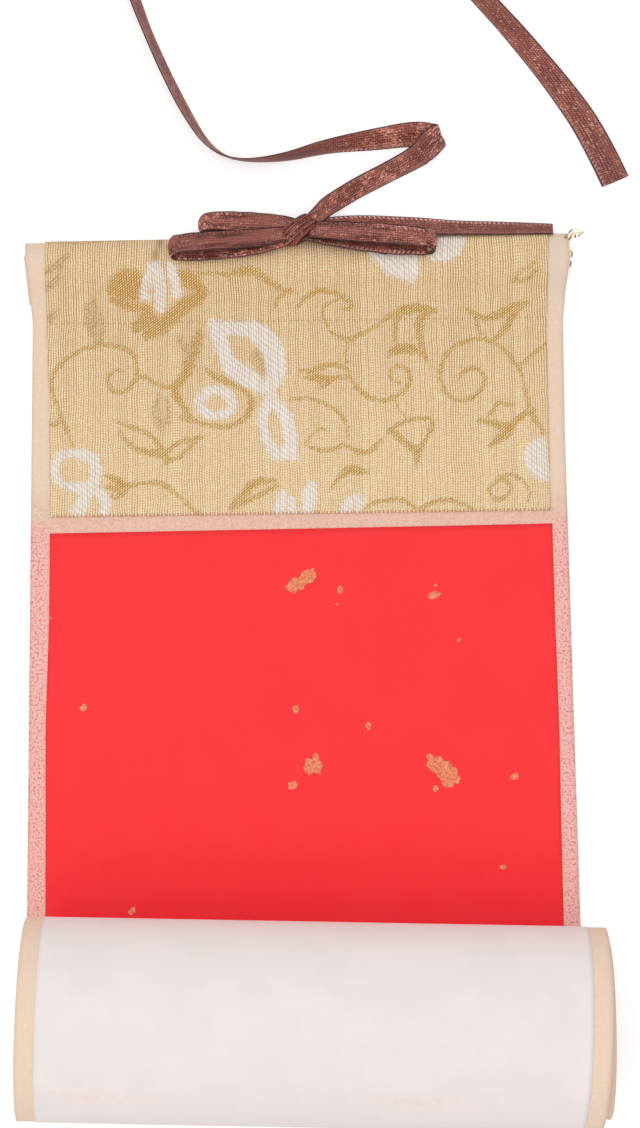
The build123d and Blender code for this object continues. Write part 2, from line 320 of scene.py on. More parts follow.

# Routes of the ribbon's lengths. Each point: x and y from the middle of the hem's far edge, height, how far
# the ribbon is turned about its line in degrees, its width, how strong the painted glints on its satin are
# there, and how light the stitches beside its right edge are, or beside its left edge where the value is
# negative
long_tail_route = (
    (0.4, 0.0, 6.4, 0, 2.6, 0.4, 0.1),
    (2.0, 1.6, 6.6, 4, 2.6, 0.6, 0.1),
    (3.7, 3.5, 6.4, 12, 3.2, 0.8, 0.1),
    (5.5, 5.3, 5.6, 24, 3.8, 0.9, 0.1),
    (7.1, 7.4, 4.4, 34, 4.4, 0.9, 0.1),
    (9.9, 9.6, 3.4, 44, 5.0, 0.8, 0.1),
    (14.1, 12.4, 2.9, 54, 5.6, 0.8, 0.1),
    (21.3, 16.2, 2.8, 56, 5.8, 1.0, 0.1),
    (28.4, 20.0, 2.8, 48, 6, 0.5, 0.1),
    (30.6, 22.3, 3.0, 26, 6.1, 0.7, 0.1),
    (32.6, 24.2, 3.2, 8, 5.6, 0.7, 0.1),
    (32.3, 24.8, 2.2, 172, 5.6, 0.8, 0.1),
    (30.4, 25.0, 2.2, 154, 6.0, 0.8, 0.1),
    (26.6, 25.4, 2.4, 136, 6, 0.9, 0.2),
    (19.6, 24.2, 2.7, 125, 6, 1.0, 0.95),
    (7.5, 22.5, 3.1, 102, 6, 0.1, 0.6),
    (-3.0, 19.6, 3.1, 89, 6, 0.0, 0.2),
    (-12.6, 19.0, 3.1, 71, 6, 0.1, 0.1),
    (-19.9, 22.4, 3.0, 68, 6, 0.5, 0.1),
    (-25.2, 31.5, 2.8, 62, 6, 0.6, 0.1),
    (-30.7, 43.3, 2.8, 63, 6, 0.4, 0.1),
    (-35.6, 55.5, 2.8, 64, 6, 0.4, 0.1),
    (-39.6, 68.5, 2.8, 58, 6, 0.4, 0.1),
    (-38.0, 82.5, 2.3, 42, 6, 0.4, 0.1),
    (-27.5, 94.0, 1.5, 22, 6, 0.4, 0.1),
    (-11.5, 98.8, 0.9, 10, 6, 0.4, 0.1),
    (6.0, 97.0, 0.7, 6, 6, 0.4, 0.1),
    (21.0, 89.0, 1.1, 14, 6, 0.4, 0.1),
    (31.0, 76.5, 1.9, 32, 6, 0.4, 0.1),
    (41.3, 62.0, 2.6, 56, 6, 0.4, 0.1),
    (52.0, 49.0, 2.4, 52, 6, 0.5, 0.1),
    (61.0, 36.9, 2.0, 38, 6, 0.6, 0.15),
    (68.6, 25.4, 0.9, 12, 6.3, 0.5, 0.3),
    (73.4, 13.9, 0.3, 0, 6.7, 0.4, 0.35),
)
short_tail_route = (
    (1.2, 0.8, 6.2, -30, 4.0, 0.5, -0.3),
    (5.5, 2.7, 5.2, -34, 4.8, 0.5, -0.5),
    (12.0, 3.6, 3.9, -36, 5.8, 0.5, -0.9),
    (24.0, 3.2, 3.0, -30, 6, 0.5, -0.9),
    (36.0, 2.35, 2.8, -34, 5.2, 0.5, -0.8),
    (48.0, 2.1, 2.6, -36, 4.6, 0.3, -0.8),
    (58.6, 1.8, 2.5, -38, 3.9, 0.2, -0.6),
)
left_loop = (
    (0.8, 0.6, 6.6, 10, 3.4, 0.6, 0.0),
    (-3.4, -0.4, 7.2, 12, 4.2, 0.4, 0.1),
    (-10.0, -0.9, 7.4, 14, 4.8, 0.1, 0.1),
    (-19.0, -1.3, 7.4, 16, 5.2, 0.1, 0.1),
    (-25.4, -1.8, 7.2, 18, 5.4, 0.3, 0.2),
    (-27.7, -2.0, 7.0, 18, 4.8, 0.4, 0.2),
    (-27.7, -2.6, 5.3, 164, 5.6, 0.8, 0.4),
    (-25.4, -2.9, 5.5, 166, 6, 0.9, 0.5),
    (-19.0, -2.9, 5.7, 166, 6, 0.6, 0.5),
    (-10.0, -2.2, 6.0, 165, 5.4, 0.8, 0.5),
    (-3.4, -1.0, 6.2, 160, 4.4, 0.9, 0.3),
    (0.8, 0.5, 6.1, 155, 3.4, 0.9, 0.2),
)
back_loop = (
    (1.4, 2.0, 6.5, 10, 3.4, 0.4, 0.0),
    (-4.0, 2.8, 6.5, 12, 4.4, 0.3, 0.1),
    (-11.0, 3.5, 6.3, 14, 5.2, 0.4, 0.2),
    (-18.0, 3.9, 6.0, 16, 5.2, 0.8, 0.3),
    (-20.8, 3.7, 5.8, 16, 4.4, 0.6, 0.3),
    (-21.0, 2.9, 4.4, 160, 4.4, 0.6, 0.2),
    (-18.0, 2.4, 4.8, 160, 5.4, 1.0, 0.3),
    (-11.0, 2.0, 5.2, 158, 5.2, 1.0, 0.4),
    (-4.0, 1.6, 5.6, 156, 4.2, 0.8, 0.4),
    (1.4, 1.2, 6.0, 150, 3.0, 0.4, 0.3),
)
right_loop = (
    (1.0, 1.2, 6.6, -12, 3.6, 0.5, 0.0),
    (5.5, 1.0, 7.1, -14, 4.8, 0.4, -0.1),
    (13.0, 0.4, 7.3, -16, 5.4, 0.5, -0.1),
    (22.0, -0.4, 7.3, -20, 5.4, 0.6, -0.2),
    (28.6, -1.2, 7.1, -22, 5.2, 0.6, -0.5),
    (30.7, -1.5, 6.9, -22, 4.9, 0.8, -0.6),
    (30.7, -2.4, 5.4, -166, 5.0, 0.9, 0.4),
    (28.6, -2.6, 5.5, -166, 5.4, 0.7, 0.5),
    (22.0, -2.2, 5.7, -164, 5.8, 0.3, 0.4),
    (13.0, -1.3, 5.9, -160, 5.6, 0.3, 0.3),
    (5.5, -0.4, 6.0, -155, 4.6, 0.5, 0.2),
    (1.0, 0.4, 6.1, -150, 3.4, 0.5, 0.1),
)

# The knot's band: its middle, how far it reaches along its wrap and up, the wrap's heading and its width
knot_middle = (0.8, 1.2, 6.3)
knot_reach = 4.1
knot_rise = 2.5
knot_heading = 40.0
knot_width = 4.9
knot_columns = 30
knot_spacing = 0.3
knot_fullness = 1.02
knot_squareness = 5
knot_side_rise = 0.35
knot_pleats = 5.0
pleat_depth = 0.2
pleat_sway = 0.7
pleat_shade = 0.25
rumple_width = 4.0
rumple_reach = 3.0
rumple_seed = 21
# Painted glints on the knot, fading towards its sides
knot_glint_strength = 0.5
knot_glint_fall = 0.3
weld_distance = 1e-6

# Woven figures. Each stroke: points across and up from the brocade's lower edge, with widths, in millimetres
stroke_parts = 3
gold_strokes = (
    (
        (-23.2, 55.3, 0.7), (-19.5, 55.6, 0.8), (-15.0, 55.4, 0.9), (-10.9, 56.1, 2.0), (-6.8, 54.3, 1.3),
        (-3.7, 52.4, 1.1), (-1.2, 52.1, 0.7),
    ),
    ((-4.9, 48.5, 0.8), (-4.6, 50.0, 0.8), (-2.8, 51.6, 0.7)),
    (
        (0.1, 48.0, 0.6), (2.0, 50.6, 1.1), (4.9, 51.9, 1.3), (8.5, 51.5, 1.1), (11.5, 49.8, 1.2),
        (12.7, 48.1, 1.1), (11.7, 47.8, 1.0), (10.1, 47.9, 0.6),
    ),
    (
        (10.3, 50.2, 0.5), (7.6, 49.1, 0.7), (6.1, 48.1, 0.7), (6.1, 45.5, 0.6), (7.7, 42.4, 0.7),
        (10.0, 41.0, 1.0), (11.8, 40.6, 1.0), (14.3, 41.6, 1.0), (17.5, 43.4, 1.0), (20.2, 45.3, 1.0),
        (23.5, 47.4, 1.3),
    ),
    (
        (11.6, 40.4, 0.8), (11.0, 37.6, 0.6), (11.1, 34.8, 0.7), (11.9, 31.4, 0.8), (14.1, 28.4, 1.0),
        (17.2, 26.4, 1.1), (20.1, 26.2, 1.0), (22.6, 27.3, 1.0), (24.7, 29.1, 1.0), (25.3, 31.7, 1.0),
        (24.3, 33.6, 1.0), (22.5, 34.1, 0.9), (21.0, 33.1, 0.8), (21.1, 31.1, 0.7), (22.9, 30.1, 0.7),
    ),
    ((0.4, 33.4, 0.6), (2.9, 33.2, 1.3), (5.6, 34.1, 1.5), (8.3, 34.7, 1.1), (11.4, 33.1, 0.6)),
    ((1.9, 31.6, 1.1), (4.6, 31.6, 2.4), (6.9, 31.0, 2.0)),
    ((5.1, 29.0, 0.6), (6.4, 30.3, 1.3), (8.3, 31.5, 1.0), (11.4, 31.5, 0.5)),
    (
        (-1.7, 26.6, 0.7), (1.4, 26.8, 0.8), (4.6, 26.1, 0.7), (7.7, 24.7, 0.8), (9.7, 22.8, 0.7),
        (11.0, 20.2, 0.7), (11.1, 17.4, 0.6),
    ),
    (
        (6.7, 19.1, 0.5), (4.7, 19.6, 0.6), (2.7, 18.0, 0.7), (1.9, 16.4, 0.8), (3.5, 15.1, 0.9),
        (6.7, 14.5, 1.0), (9.8, 15.6, 1.0), (11.6, 15.3, 1.0), (13.9, 14.0, 1.5), (16.3, 14.3, 1.3),
        (18.6, 16.6, 1.0),
    ),
    ((7.2, 5.6, 0.6), (9.3, 8.4, 1.1), (11.6, 10.0, 2.2), (13.8, 9.7, 2.0), (15.8, 9.5, 0.5)),
    ((-15.4, 1.1, 0.9), (-13.2, 3.8, 1.7), (-10.4, 6.8, 2.2), (-7.8, 7.7, 1.7), (-5.1, 7.7, 0.6)),
    ((-13.6, 2.2, 1.1), (-9.6, 4.0, 1.1), (-6.4, 5.8, 1.3), (-4.8, 6.5, 0.7)),
    (
        (14.6, 1.1, 0.8), (17.3, 2.4, 1.0), (20.0, 2.8, 1.0), (23.5, 2.8, 1.0), (25.7, 1.2, 0.8),
        (28.0, 0.7, 0.7),
    ),
    (
        (-26.6, 22.6, 1.0), (-21.6, 21.2, 1.0), (-17.6, 20.4, 1.1), (-13.7, 21.1, 1.1),
        (-11.2, 23.3, 1.6), (-10.5, 26.4, 1.7), (-12.1, 29.0, 1.3), (-15.3, 30.7, 1.5),
        (-18.4, 32.1, 1.6), (-20.4, 33.8, 0.8),
    ),
    ((32.0, 60.6, 0.9), (33.4, 60.6, 1.0)),
    ((23.5, 47.2, 1.5), (24.8, 47.3, 2.3), (28.0, 47.6, 2.3), (31.6, 46.8, 0.9)),
    ((29.8, 46.8, 1.6), (27.9, 44.9, 2.1), (27.6, 41.6, 1.8), (28.1, 38.7, 1.5), (29.3, 35.2, 0.8)),
    ((23.0, 45.9, 1.3), (22.2, 42.6, 1.1), (22.4, 39.3, 0.9)),
    ((20.8, 36.5, 1.0), (22.4, 37.9, 2.3), (24.6, 38.1, 2.5), (26.9, 37.6, 1.9), (28.7, 36.4, 0.9)),
    (
        (38.7, 47.4, 0.8), (40.7, 45.7, 1.5), (42.5, 44.9, 1.4), (45.2, 45.6, 1.7), (48.4, 47.2, 2.2),
        (52.6, 48.8, 0.8),
    ),
    ((50.7, 47.6, 1.5), (48.8, 45.1, 1.7), (46.9, 42.2, 1.5), (44.1, 39.2, 0.9)),
    ((40.7, 45.2, 1.0), (41.3, 42.3, 0.9), (42.8, 41.1, 0.7)),
    ((49.1, 53.2, 0.6), (50.7, 55.1, 0.7), (53.5, 56.3, 0.7), (54.9, 57.4, 0.6)),
    ((49.8, 53.2, 0.6), (52.5, 53.7, 0.7), (54.4, 55.3, 0.6)),
    (
        (36.5, 30.4, 0.6), (37.0, 32.0, 0.8), (39.2, 33.4, 1.0), (41.5, 32.6, 1.0), (42.3, 30.3, 1.0),
        (41.1, 27.7, 1.0), (38.4, 26.1, 1.0), (35.7, 25.9, 1.0), (33.3, 27.8, 1.0), (32.2, 30.9, 1.0),
        (32.5, 34.0, 1.0), (34.6, 37.7, 1.0), (37.8, 39.5, 1.0), (41.4, 40.2, 1.0), (45.0, 39.0, 1.1),
        (47.7, 36.6, 1.0), (49.9, 33.7, 1.1), (52.2, 35.5, 1.0), (56.3, 38.6, 0.8),
    ),
    (
        (49.9, 33.7, 1.0), (50.9, 30.4, 0.9), (51.7, 25.7, 1.0), (52.3, 22.9, 1.5), (54.0, 20.0, 1.0),
        (55.5, 17.4, 0.7),
    ),
    ((48.3, 24.3, 0.9), (45.6, 25.1, 1.0), (44.2, 23.5, 1.0), (43.0, 22.1, 0.9)),
    (
        (40.5, 20.9, 0.7), (43.7, 20.4, 1.6), (46.3, 19.4, 2.2), (48.2, 19.9, 1.8), (50.5, 22.0, 1.5),
        (52.7, 23.1, 1.5),
    ),
    ((43.1, 15.1, 0.9), (44.9, 16.4, 1.8), (47.2, 18.3, 2.2)),
    (
        (20.2, 18.7, 1.0), (23.4, 20.7, 1.1), (26.6, 21.6, 1.0), (30.2, 21.3, 1.0), (29.7, 19.0, 1.0),
        (28.3, 16.2, 1.3), (26.9, 13.9, 1.7), (26.4, 10.2, 0.7),
    ),
    ((21.1, 18.7, 1.7), (23.3, 16.8, 1.5), (25.6, 14.9, 1.7), (26.9, 13.4, 1.3)),
    ((22.2, 25.7, 0.6), (22.8, 23.8, 0.5), (24.3, 21.9, 0.6)),
    (
        (45.1, 7.6, 0.8), (47.1, 6.2, 0.8), (47.3, 4.3, 0.9), (45.0, 2.5, 1.0), (43.0, 3.5, 0.9),
        (42.8, 5.3, 0.9), (45.1, 7.6, 0.8),
    ),
    ((45.1, 7.8, 0.7), (47.4, 8.3, 0.8), (49.6, 7.3, 0.8), (51.6, 4.7, 0.7), (51.3, 2.0, 0.7)),
    ((27.5, 0.9, 0.6), (29.8, 2.1, 1.0), (33.4, 2.7, 1.1), (36.5, 1.7, 1.0), (39.1, 0.5, 0.7)),
    ((-42.2, 52.6, 2.0), (-40.8, 53.3, 4.2), (-38.8, 53.5, 6.2), (-36.7, 53.3, 6.2), (-35.4, 53.0, 4.5)),
    (
        (-41.8, 50.7, 1.6), (-38.3, 49.0, 2.0), (-34.9, 48.5, 2.4),
        (-33.8, 46.8, 3.4), (-35.4, 44.7, 3.6), (-36.5, 44.0, 2.4),
    ),
    (
        (-26.5, 55.5, 1.8), (-24.0, 54.3, 3.4), (-21.5, 52.3, 2.6), (-22.6, 50.7, 3.2),
        (-25.4, 49.0, 3.6), (-28.3, 46.5, 3.8), (-31.1, 44.1, 3.8), (-34.0, 42.3, 2.6),
    ),
    ((-33.3, 46.3, 3.0), (-32.0, 45.1, 3.0)),
    (
        (-36.3, 32.6, 0.7), (-36.5, 36.4, 0.8), (-38.1, 38.6, 1.0), (-41.3, 39.8, 1.1),
        (-44.4, 40.1, 1.1), (-48.1, 39.2, 1.0), (-51.7, 37.1, 1.0), (-54.6, 34.3, 1.0),
        (-55.7, 31.5, 0.9), (-55.2, 28.2, 0.8), (-54.1, 25.4, 0.8), (-53.2, 22.6, 1.0),
        (-51.8, 19.3, 0.9), (-50.7, 16.7, 0.6),
    ),
    ((-55.6, 21.4, 1.0), (-54.1, 21.9, 1.1)),
    (
        (-39.2, 33.4, 0.7), (-41.3, 33.9, 0.9), (-42.8, 32.3, 0.9), (-42.4, 29.9, 1.0),
        (-40.3, 28.7, 1.0), (-38.1, 29.8, 1.0), (-36.3, 31.9, 1.0), (-34.5, 32.4, 1.0),
        (-32.2, 30.7, 1.0), (-29.5, 29.9, 1.0), (-27.2, 29.7, 1.1),
    ),
    (
        (-22.4, 42.3, 0.7), (-23.1, 39.0, 1.5), (-24.1, 35.8, 1.7), (-25.9, 32.0, 2.2),
        (-27.7, 28.7, 2.2), (-25.4, 24.5, 1.1), (-24.1, 22.6, 1.3),
    ),
    (
        (-40.8, 22.1, 0.6), (-38.5, 20.9, 1.0), (-35.8, 20.0, 1.0), (-33.1, 18.5, 1.0),
        (-30.8, 15.7, 1.3), (-29.7, 12.4, 0.9),
    ),
    ((-40.3, 19.6, 0.7), (-38.5, 17.2, 1.0), (-35.8, 15.3, 1.3), (-32.6, 14.6, 1.5), (-30.4, 13.8, 1.3)),
    ((-29.7, 12.2, 0.9), (-29.1, 15.2, 1.1), (-26.3, 17.0, 1.1), (-21.4, 18.1, 0.8)),
    ((-29.5, 12.4, 1.0), (-26.4, 13.8, 1.1), (-24.1, 16.1, 1.0), (-21.8, 17.9, 0.6)),
    ((-43.2, 9.4, 0.9), (-41.2, 8.4, 1.9), (-39.4, 7.0, 2.2)),
    (
        (-43.4, 6.6, 0.7), (-41.2, 6.6, 1.7), (-38.5, 7.0, 1.5), (-34.9, 7.4, 0.9), (-31.7, 7.7, 1.1),
        (-29.5, 6.6, 1.0), (-26.4, 4.0, 0.9), (-23.7, 1.5, 0.9), (-22.4, 0.3, 0.7),
    ),
    ((-42.1, 4.3, 1.0), (-39.8, 4.9, 1.3), (-38.5, 6.1, 1.0)),
)

silver_strokes = (
    (
        (-19.3, 44.9, 2.1), (-17.9, 41.8, 3.2), (-16.3, 37.5, 3.3), (-14.6, 34.2, 4.2),
        (-11.2, 31.8, 4.5), (-8.0, 29.4, 3.0),
    ),
    (
        (-19.3, 44.9, 1.6), (-16.1, 43.9, 3.2), (-13.4, 43.6, 3.4), (-9.7, 43.0, 4.5), (-6.6, 40.0, 5.0),
        (-5.1, 36.3, 4.7), (-4.9, 32.6, 4.2), (-6.0, 29.4, 3.0),
    ),
    (
        (-18.4, 29.1, 2.2), (-15.7, 28.1, 2.2), (-14.6, 26.0, 2.2), (-15.7, 23.9, 2.2),
        (-18.4, 23.0, 2.2), (-21.2, 24.0, 2.2), (-22.0, 26.1, 2.2), (-20.9, 28.4, 2.2),
        (-18.4, 29.1, 2.2),
    ),
    ((-6.0, 27.0, 2.6), (-7.4, 24.2, 2.6), (-7.9, 21.0, 2.2), (-7.0, 17.2, 2.2), (-5.5, 14.4, 2.6)),
    ((-6.3, 26.1, 3.0), (-4.0, 24.6, 3.0), (-2.2, 21.3, 3.0), (-1.6, 17.6, 3.0), (-1.9, 14.8, 3.5)),
    ((-5.5, 13.2, 1.7), (-2.8, 13.7, 2.6), (-0.3, 13.1, 1.3)),
    ((-4.7, 0.5, 2.2), (-3.8, 3.2, 2.6), (-3.5, 4.9, 1.3)),
    ((2.0, 0.4, 2.6), (2.5, 4.1, 3.5), (3.0, 6.4, 2.2)),
    ((10.1, 0.3, 1.7), (11.5, 2.6, 2.6), (13.3, 3.5, 1.7)),
    ((13.2, 0.2, 1.7), (13.7, 2.5, 2.2)),
    ((18.6, 59.7, 4.4), (21.6, 57.8, 6.0), (24.4, 57.2, 6.6), (25.8, 55.4, 4.4)),
    ((30.4, 59.0, 2.6), (34.1, 59.9, 5.7), (36.8, 61.3, 3.9)),
    ((54.2, 15.2, 3.4), (53.4, 12.7, 5.4), (54.0, 10.0, 4.6), (55.2, 8.0, 2.6)),
    ((-32.9, 57.1, 1.7), (-33.8, 54.3, 2.2), (-34.5, 51.4, 2.2)),
    ((-31.5, 57.1, 2.2), (-31.1, 53.7, 2.6), (-30.9, 50.4, 2.2), (-30.8, 48.2, 1.7)),
    ((-28.4, 56.6, 2.2), (-27.5, 54.2, 2.2), (-27.2, 51.8, 2.2)),
    (
        (-54.4, 8.8, 1.7), (-54.7, 11.4, 2.2), (-53.3, 14.2, 2.2), (-48.8, 14.6, 2.2), (-46.1, 13.1, 2.6),
        (-45.4, 9.9, 2.6), (-46.6, 7.1, 2.6), (-49.2, 6.7, 2.6), (-52.4, 7.4, 1.7), (-54.4, 8.8, 1.7),
    ),
    ((-47.0, 6.6, 3.0), (-47.9, 3.9, 3.0), (-49.7, 1.1, 3.0)),
    ((-44.8, 5.7, 2.6), (-43.4, 3.8, 2.6), (-43.4, 1.0, 2.2)),
    ((-1.7, 3.4, 1.6), (-1.5, 0.2, 2.0)),
)

shade_strokes = (
    ((-31.2, 28.0, 0.8), (-32.0, 25.0, 1.8), (-31.3, 21.8, 2.4), (-30.4, 19.0, 1.0)),
    ((-29.6, 27.2, 0.8), (-29.1, 24.4, 1.2), (-29.4, 21.4, 1.0)),
    ((-46.3, 51.0, 1.2), (-46.7, 48.4, 3.2), (-45.8, 45.1, 4.4), (-45.1, 41.7, 2.6)),
    ((-27.0, 41.7, 1.4), (-25.6, 39.8, 2.0), (-24.7, 38.3, 1.2)),
    ((-22.4, 42.6, 2.0), (-22.9, 39.7, 3.0), (-24.3, 36.7, 3.4), (-24.7, 33.6, 2.4)),
    ((-56.6, 56.4, 1.4), (-54.1, 57.6, 1.8), (-51.6, 59.9, 1.0)),
    ((-56.6, 53.1, 1.4), (-54.8, 54.5, 2.0), (-53.4, 57.1, 1.2)),
    ((-56.1, 46.6, 2.4), (-54.9, 48.1, 1.6)),
    ((-56.2, 63.4, 0.7), (-49.3, 62.8, 0.7), (-42.5, 63.4, 0.6), (-37.5, 63.6, 0.6)),
    ((-7.9, 39.5, 2.0), (-8.9, 36.5, 3.0), (-7.5, 33.6, 2.4)),
)

# Grey patches on the brocade beside the bow: place across and up, reach each way, and strength
brocade_patches = ((-30.9, 62.6, 0.8, 1.7, 0.7), (-31.9, 59.4, 0.7, 1.7, 0.7))


class SheetRun:
    """The line of the mount's back, seen from the side: from the flap under the hem to the roll's end."""

    turn_step = 3.0
    far_step = 1.0

    def __init__(self, y, z, heading):
        self.lengths = [0.0]
        self.ys = [y]
        self.zs = [z]
        self.headings = [heading]
        self.marks = {}

    def add(self, name, length, turn):
        """Adds a stretch that turns evenly by so many degrees, left when positive."""
        parts = max(2, math.ceil(abs(turn) / self.turn_step), math.ceil(length / self.far_step))
        part_turn = math.radians(turn / parts)
        chord = length / parts
        if turn:
            chord *= math.sin(part_turn / 2) / (part_turn / 2)
        self.marks[name] = self.lengths[-1]
        for _ in range(parts):
            angle = math.radians(self.headings[-1]) + part_turn / 2
            self.ys.append(self.ys[-1] + chord * math.cos(angle))
            self.zs.append(self.zs[-1] + chord * math.sin(angle))
            self.headings.append(self.headings[-1] + turn / parts)
            self.lengths.append(self.lengths[-1] + length / parts)

    def ahead(self, name, length):
        """Adds a straight stretch."""
        self.add(name, length, 0.0)

    def turned(self, name, radius, turn):
        """Adds an arc that turns by so many degrees."""
        self.add(name, radius * math.radians(abs(turn)), turn)

    def at(self, along, depth):
        """Y and Z of points along the line, at a depth towards the printed face."""
        angle = np.radians(np.interp(along, self.lengths, self.headings))
        y = np.interp(along, self.lengths, self.ys) + np.sin(angle) * depth
        z = np.interp(along, self.lengths, self.zs) - np.cos(angle) * depth
        return y, z


def sheet_run():
    """The run of the sheets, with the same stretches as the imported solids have."""
    flap_end = hem_far - flap_length
    flap_back = brocade_thickness + mount_thickness
    shoulder = math.radians(batten_shoulder)
    crown_radius = (batten_height - batten_edge * (1 - math.cos(shoulder))) / (1 + math.cos(shoulder))
    far_edge_start = hem_far - batten_edge - brocade_face
    slope_angle = 180 - batten_shoulder
    slope_fall = math.radians(slope_angle)
    slope_drop = batten_edge * (1 - math.cos(shoulder)) - glue_gap - hem_foot * (1 - math.cos(slope_fall))

    line = SheetRun(flap_end, flap_back, 0.0)
    line.ahead("flap", far_edge_start - flap_end)
    line.turned("far_edge", batten_edge, batten_shoulder)
    line.turned("crown", crown_radius, 2 * slope_angle)
    line.ahead("slope", slope_drop / math.sin(slope_fall))
    line.turned("foot", hem_foot, -slope_angle)
    line.ahead("glued", line.ys[-1] - flap_end)
    step_drop = line.zs[-1] - lining_thickness
    step_length = line.ys[-1] - (hem_far - crease_distance)
    step_turn = 2 * math.degrees(math.atan2(step_drop, step_length))
    step_radius = step_length / (2 * math.sin(math.radians(step_turn)))
    line.turned("step_down", step_radius, step_turn)
    line.turned("step_level", step_radius, -step_turn)
    line.ahead("heading", line.ys[-1] - brocade_low)
    line.ahead("cross_strip", brocade_low - red_top)
    line.ahead("writing", red_top - (hem_far - flat_length) + flat_spot / 2)

    pitch = lining_thickness + red_face + turn_gap
    first_top = roll_height - lining_thickness
    last_top = lining_thickness + roll_turns * pitch + 2 * red_face + roller_diameter + roller_gap
    spreads = [turn_spread**turn for turn in range(roll_turns - 1)]
    for turn in range(roll_turns):
        top = first_top - (first_top - last_top) * sum(spreads[:turn]) / sum(spreads)
        bottom = lining_thickness + turn * pitch
        line.turned(f"near_{turn}", (top - bottom) / 2, -180)
        line.ahead(f"top_{turn}", flat_spot)
        line.turned(f"far_{turn}", (top - bottom - pitch) / 2, -180)
        line.ahead(f"bottom_{turn}", flat_spot)
    line.marks["end"] = line.lengths[-1]
    return line


run = sheet_run()
roll_start = run.marks["near_0"]


def ease(value, low, high):
    """0 below low, 1 above high, and a smooth rise between them."""
    share = np.clip((value - low) / (high - low), 0, 1)
    return share * share * (3 - 2 * share)


def ripple(across, along, reach, seed):
    """A smooth unevenness from -1 to 1 that changes over about the reach, in millimetres."""
    total = np.zeros(np.broadcast(across, along).shape)
    chance = random.Random(seed)
    for _ in range(ripple_waves):
        angle = chance.uniform(0, 2 * math.pi)
        pace = chance.uniform(ripple_pace_low, ripple_pace_high) * 2 * math.pi / reach
        start = chance.uniform(0, ripple_start_high)
        total += np.sin(pace * (across * math.cos(angle) + along * math.sin(angle)) + start)
    return total / ripple_waves


def lay(across, along, depth):
    """Places points of the sheets, in millimetres: across the width, along the run, at a depth."""
    marks = run.marks
    wound = along - roll_start + across * roll_skew
    rolled = wound > 0
    y, z = run.at(np.where(rolled, roll_start + wound, along), depth)
    straight = ease(wound, skew_ends_from, skew_ends_to)
    y = y + np.where(rolled, across * roll_skew * (1 - straight), 0)
    over_hem = ease(along, 0, marks["far_edge"]) * (1 - ease(along, marks["crown"], marks["slope"]))
    y = y + (hem_ease + hem_skew * across) * over_hem
    drift = sum(shift * ease(wound, low, high) for shift, low, high in roll_shifts)
    drift = drift + across * roll_spread * ease(wound, roll_spread_from, roll_spread_to)
    swell = roll_swell * ripple(across, wound, swell_reach, swell_seed) * np.clip(z / roll_height, 0, 1)
    flat = ease(along, marks["heading"], marks["heading"] + lift_start_length)
    flat = flat * (1 - ease(wound, lift_end_from, lift_end_to))
    side = ease(np.abs(across), lift_side_from, lift_side_to)
    uneven = 1 + ripple(across, along, lift_reach, lift_seed)
    lift = sheet_lift * flat * (lift_at_middle + side) * uneven / 2
    return across + drift, y, z + np.where(rolled, swell, lift)


def between_sides(share, half, length, sides):
    """X of points a share of the way across a paper whose sides stand a little off straight."""
    lengths, left, right = np.array(sides).T
    left_side = -half + np.interp(length, lengths, left)
    right_side = half + np.interp(length, lengths, right)
    return left_side + (right_side - left_side) * (share + 1) / 2


def half_width(along):
    """Half the mount's width along its run: the flap, the hem's flare and the straight sheet."""
    marks = run.marks
    flare = marks["far_edge"] - hem_flare_length
    points = [0, flare, marks["far_edge"], marks["crown"], marks["heading"], marks["end"]]
    widths = [flap_width, flap_width, hem_width, hem_width, sheet_width, sheet_width]
    return np.interp(along, points, widths) / 2


def steps(low, high, most):
    """Evenly spaced values from low to high, no further apart than most."""
    return np.linspace(low, high, max(2, math.ceil((high - low) / most) + 1))


def rounded_steps(count):
    """Values from -1 to 1 that lie closer together towards both ends."""
    return np.sin(steps(-math.pi / 2, math.pi / 2, math.pi / count))


def joined_steps(*stretches):
    """The values of several stretches, each (low, high, most), in one rising list."""
    return np.unique(np.concatenate([steps(*stretch) for stretch in stretches]))


def new_piece(name, mesh, material, thickness=0.0, offset=-1.0):
    """Makes a mesh an object of the scroll, smooth, with its material and, on a sheet, its thickness."""
    piece = bpy.data.objects.new(name, mesh)
    bpy.context.scene.collection.objects.link(piece)
    mesh.materials.append(material)
    mesh.shade_smooth()
    if thickness:
        solid = piece.modifiers.new("thickness", "SOLIDIFY")
        solid.thickness = thickness * MM
        solid.offset = offset
    return piece


def grid_mesh(name, across, along, place):
    """A grid with a vertex for each pair of values, laid where place says, with a UV map in millimetres."""
    grid = bmesh.new()
    bmesh.ops.create_grid(grid, x_segments=len(across) - 1, y_segments=len(along) - 1, size=0.5)
    mesh = bpy.data.meshes.new(name)
    grid.to_mesh(mesh)
    grid.free()
    corners = np.empty(len(mesh.vertices) * 3)
    mesh.vertices.foreach_get("co", corners)
    corners = corners.reshape(-1, 3) + 0.5
    column = np.rint(corners[:, 0] * (len(across) - 1)).astype(int)
    row = np.rint((1 - corners[:, 1]) * (len(along) - 1)).astype(int)
    u, v = across[column], along[row]
    x, y, z = place(u, v)
    mesh.vertices.foreach_set("co", (np.column_stack([x, y, z]) * MM).ravel())
    loops = np.empty(len(mesh.loops), int)
    mesh.loops.foreach_get("vertex_index", loops)
    layer = mesh.uv_layers.new(name="sheet")
    layer.uv.foreach_set("vector", np.column_stack([u, v])[loops].ravel())
    mesh.update()
    return mesh, u, v


def store(mesh, name, values):
    """Keeps one number for each vertex as an attribute that materials can read."""
    attribute = mesh.attributes.new(name, "FLOAT", "POINT")
    attribute.data.foreach_set("value", np.asarray(values, np.float32))


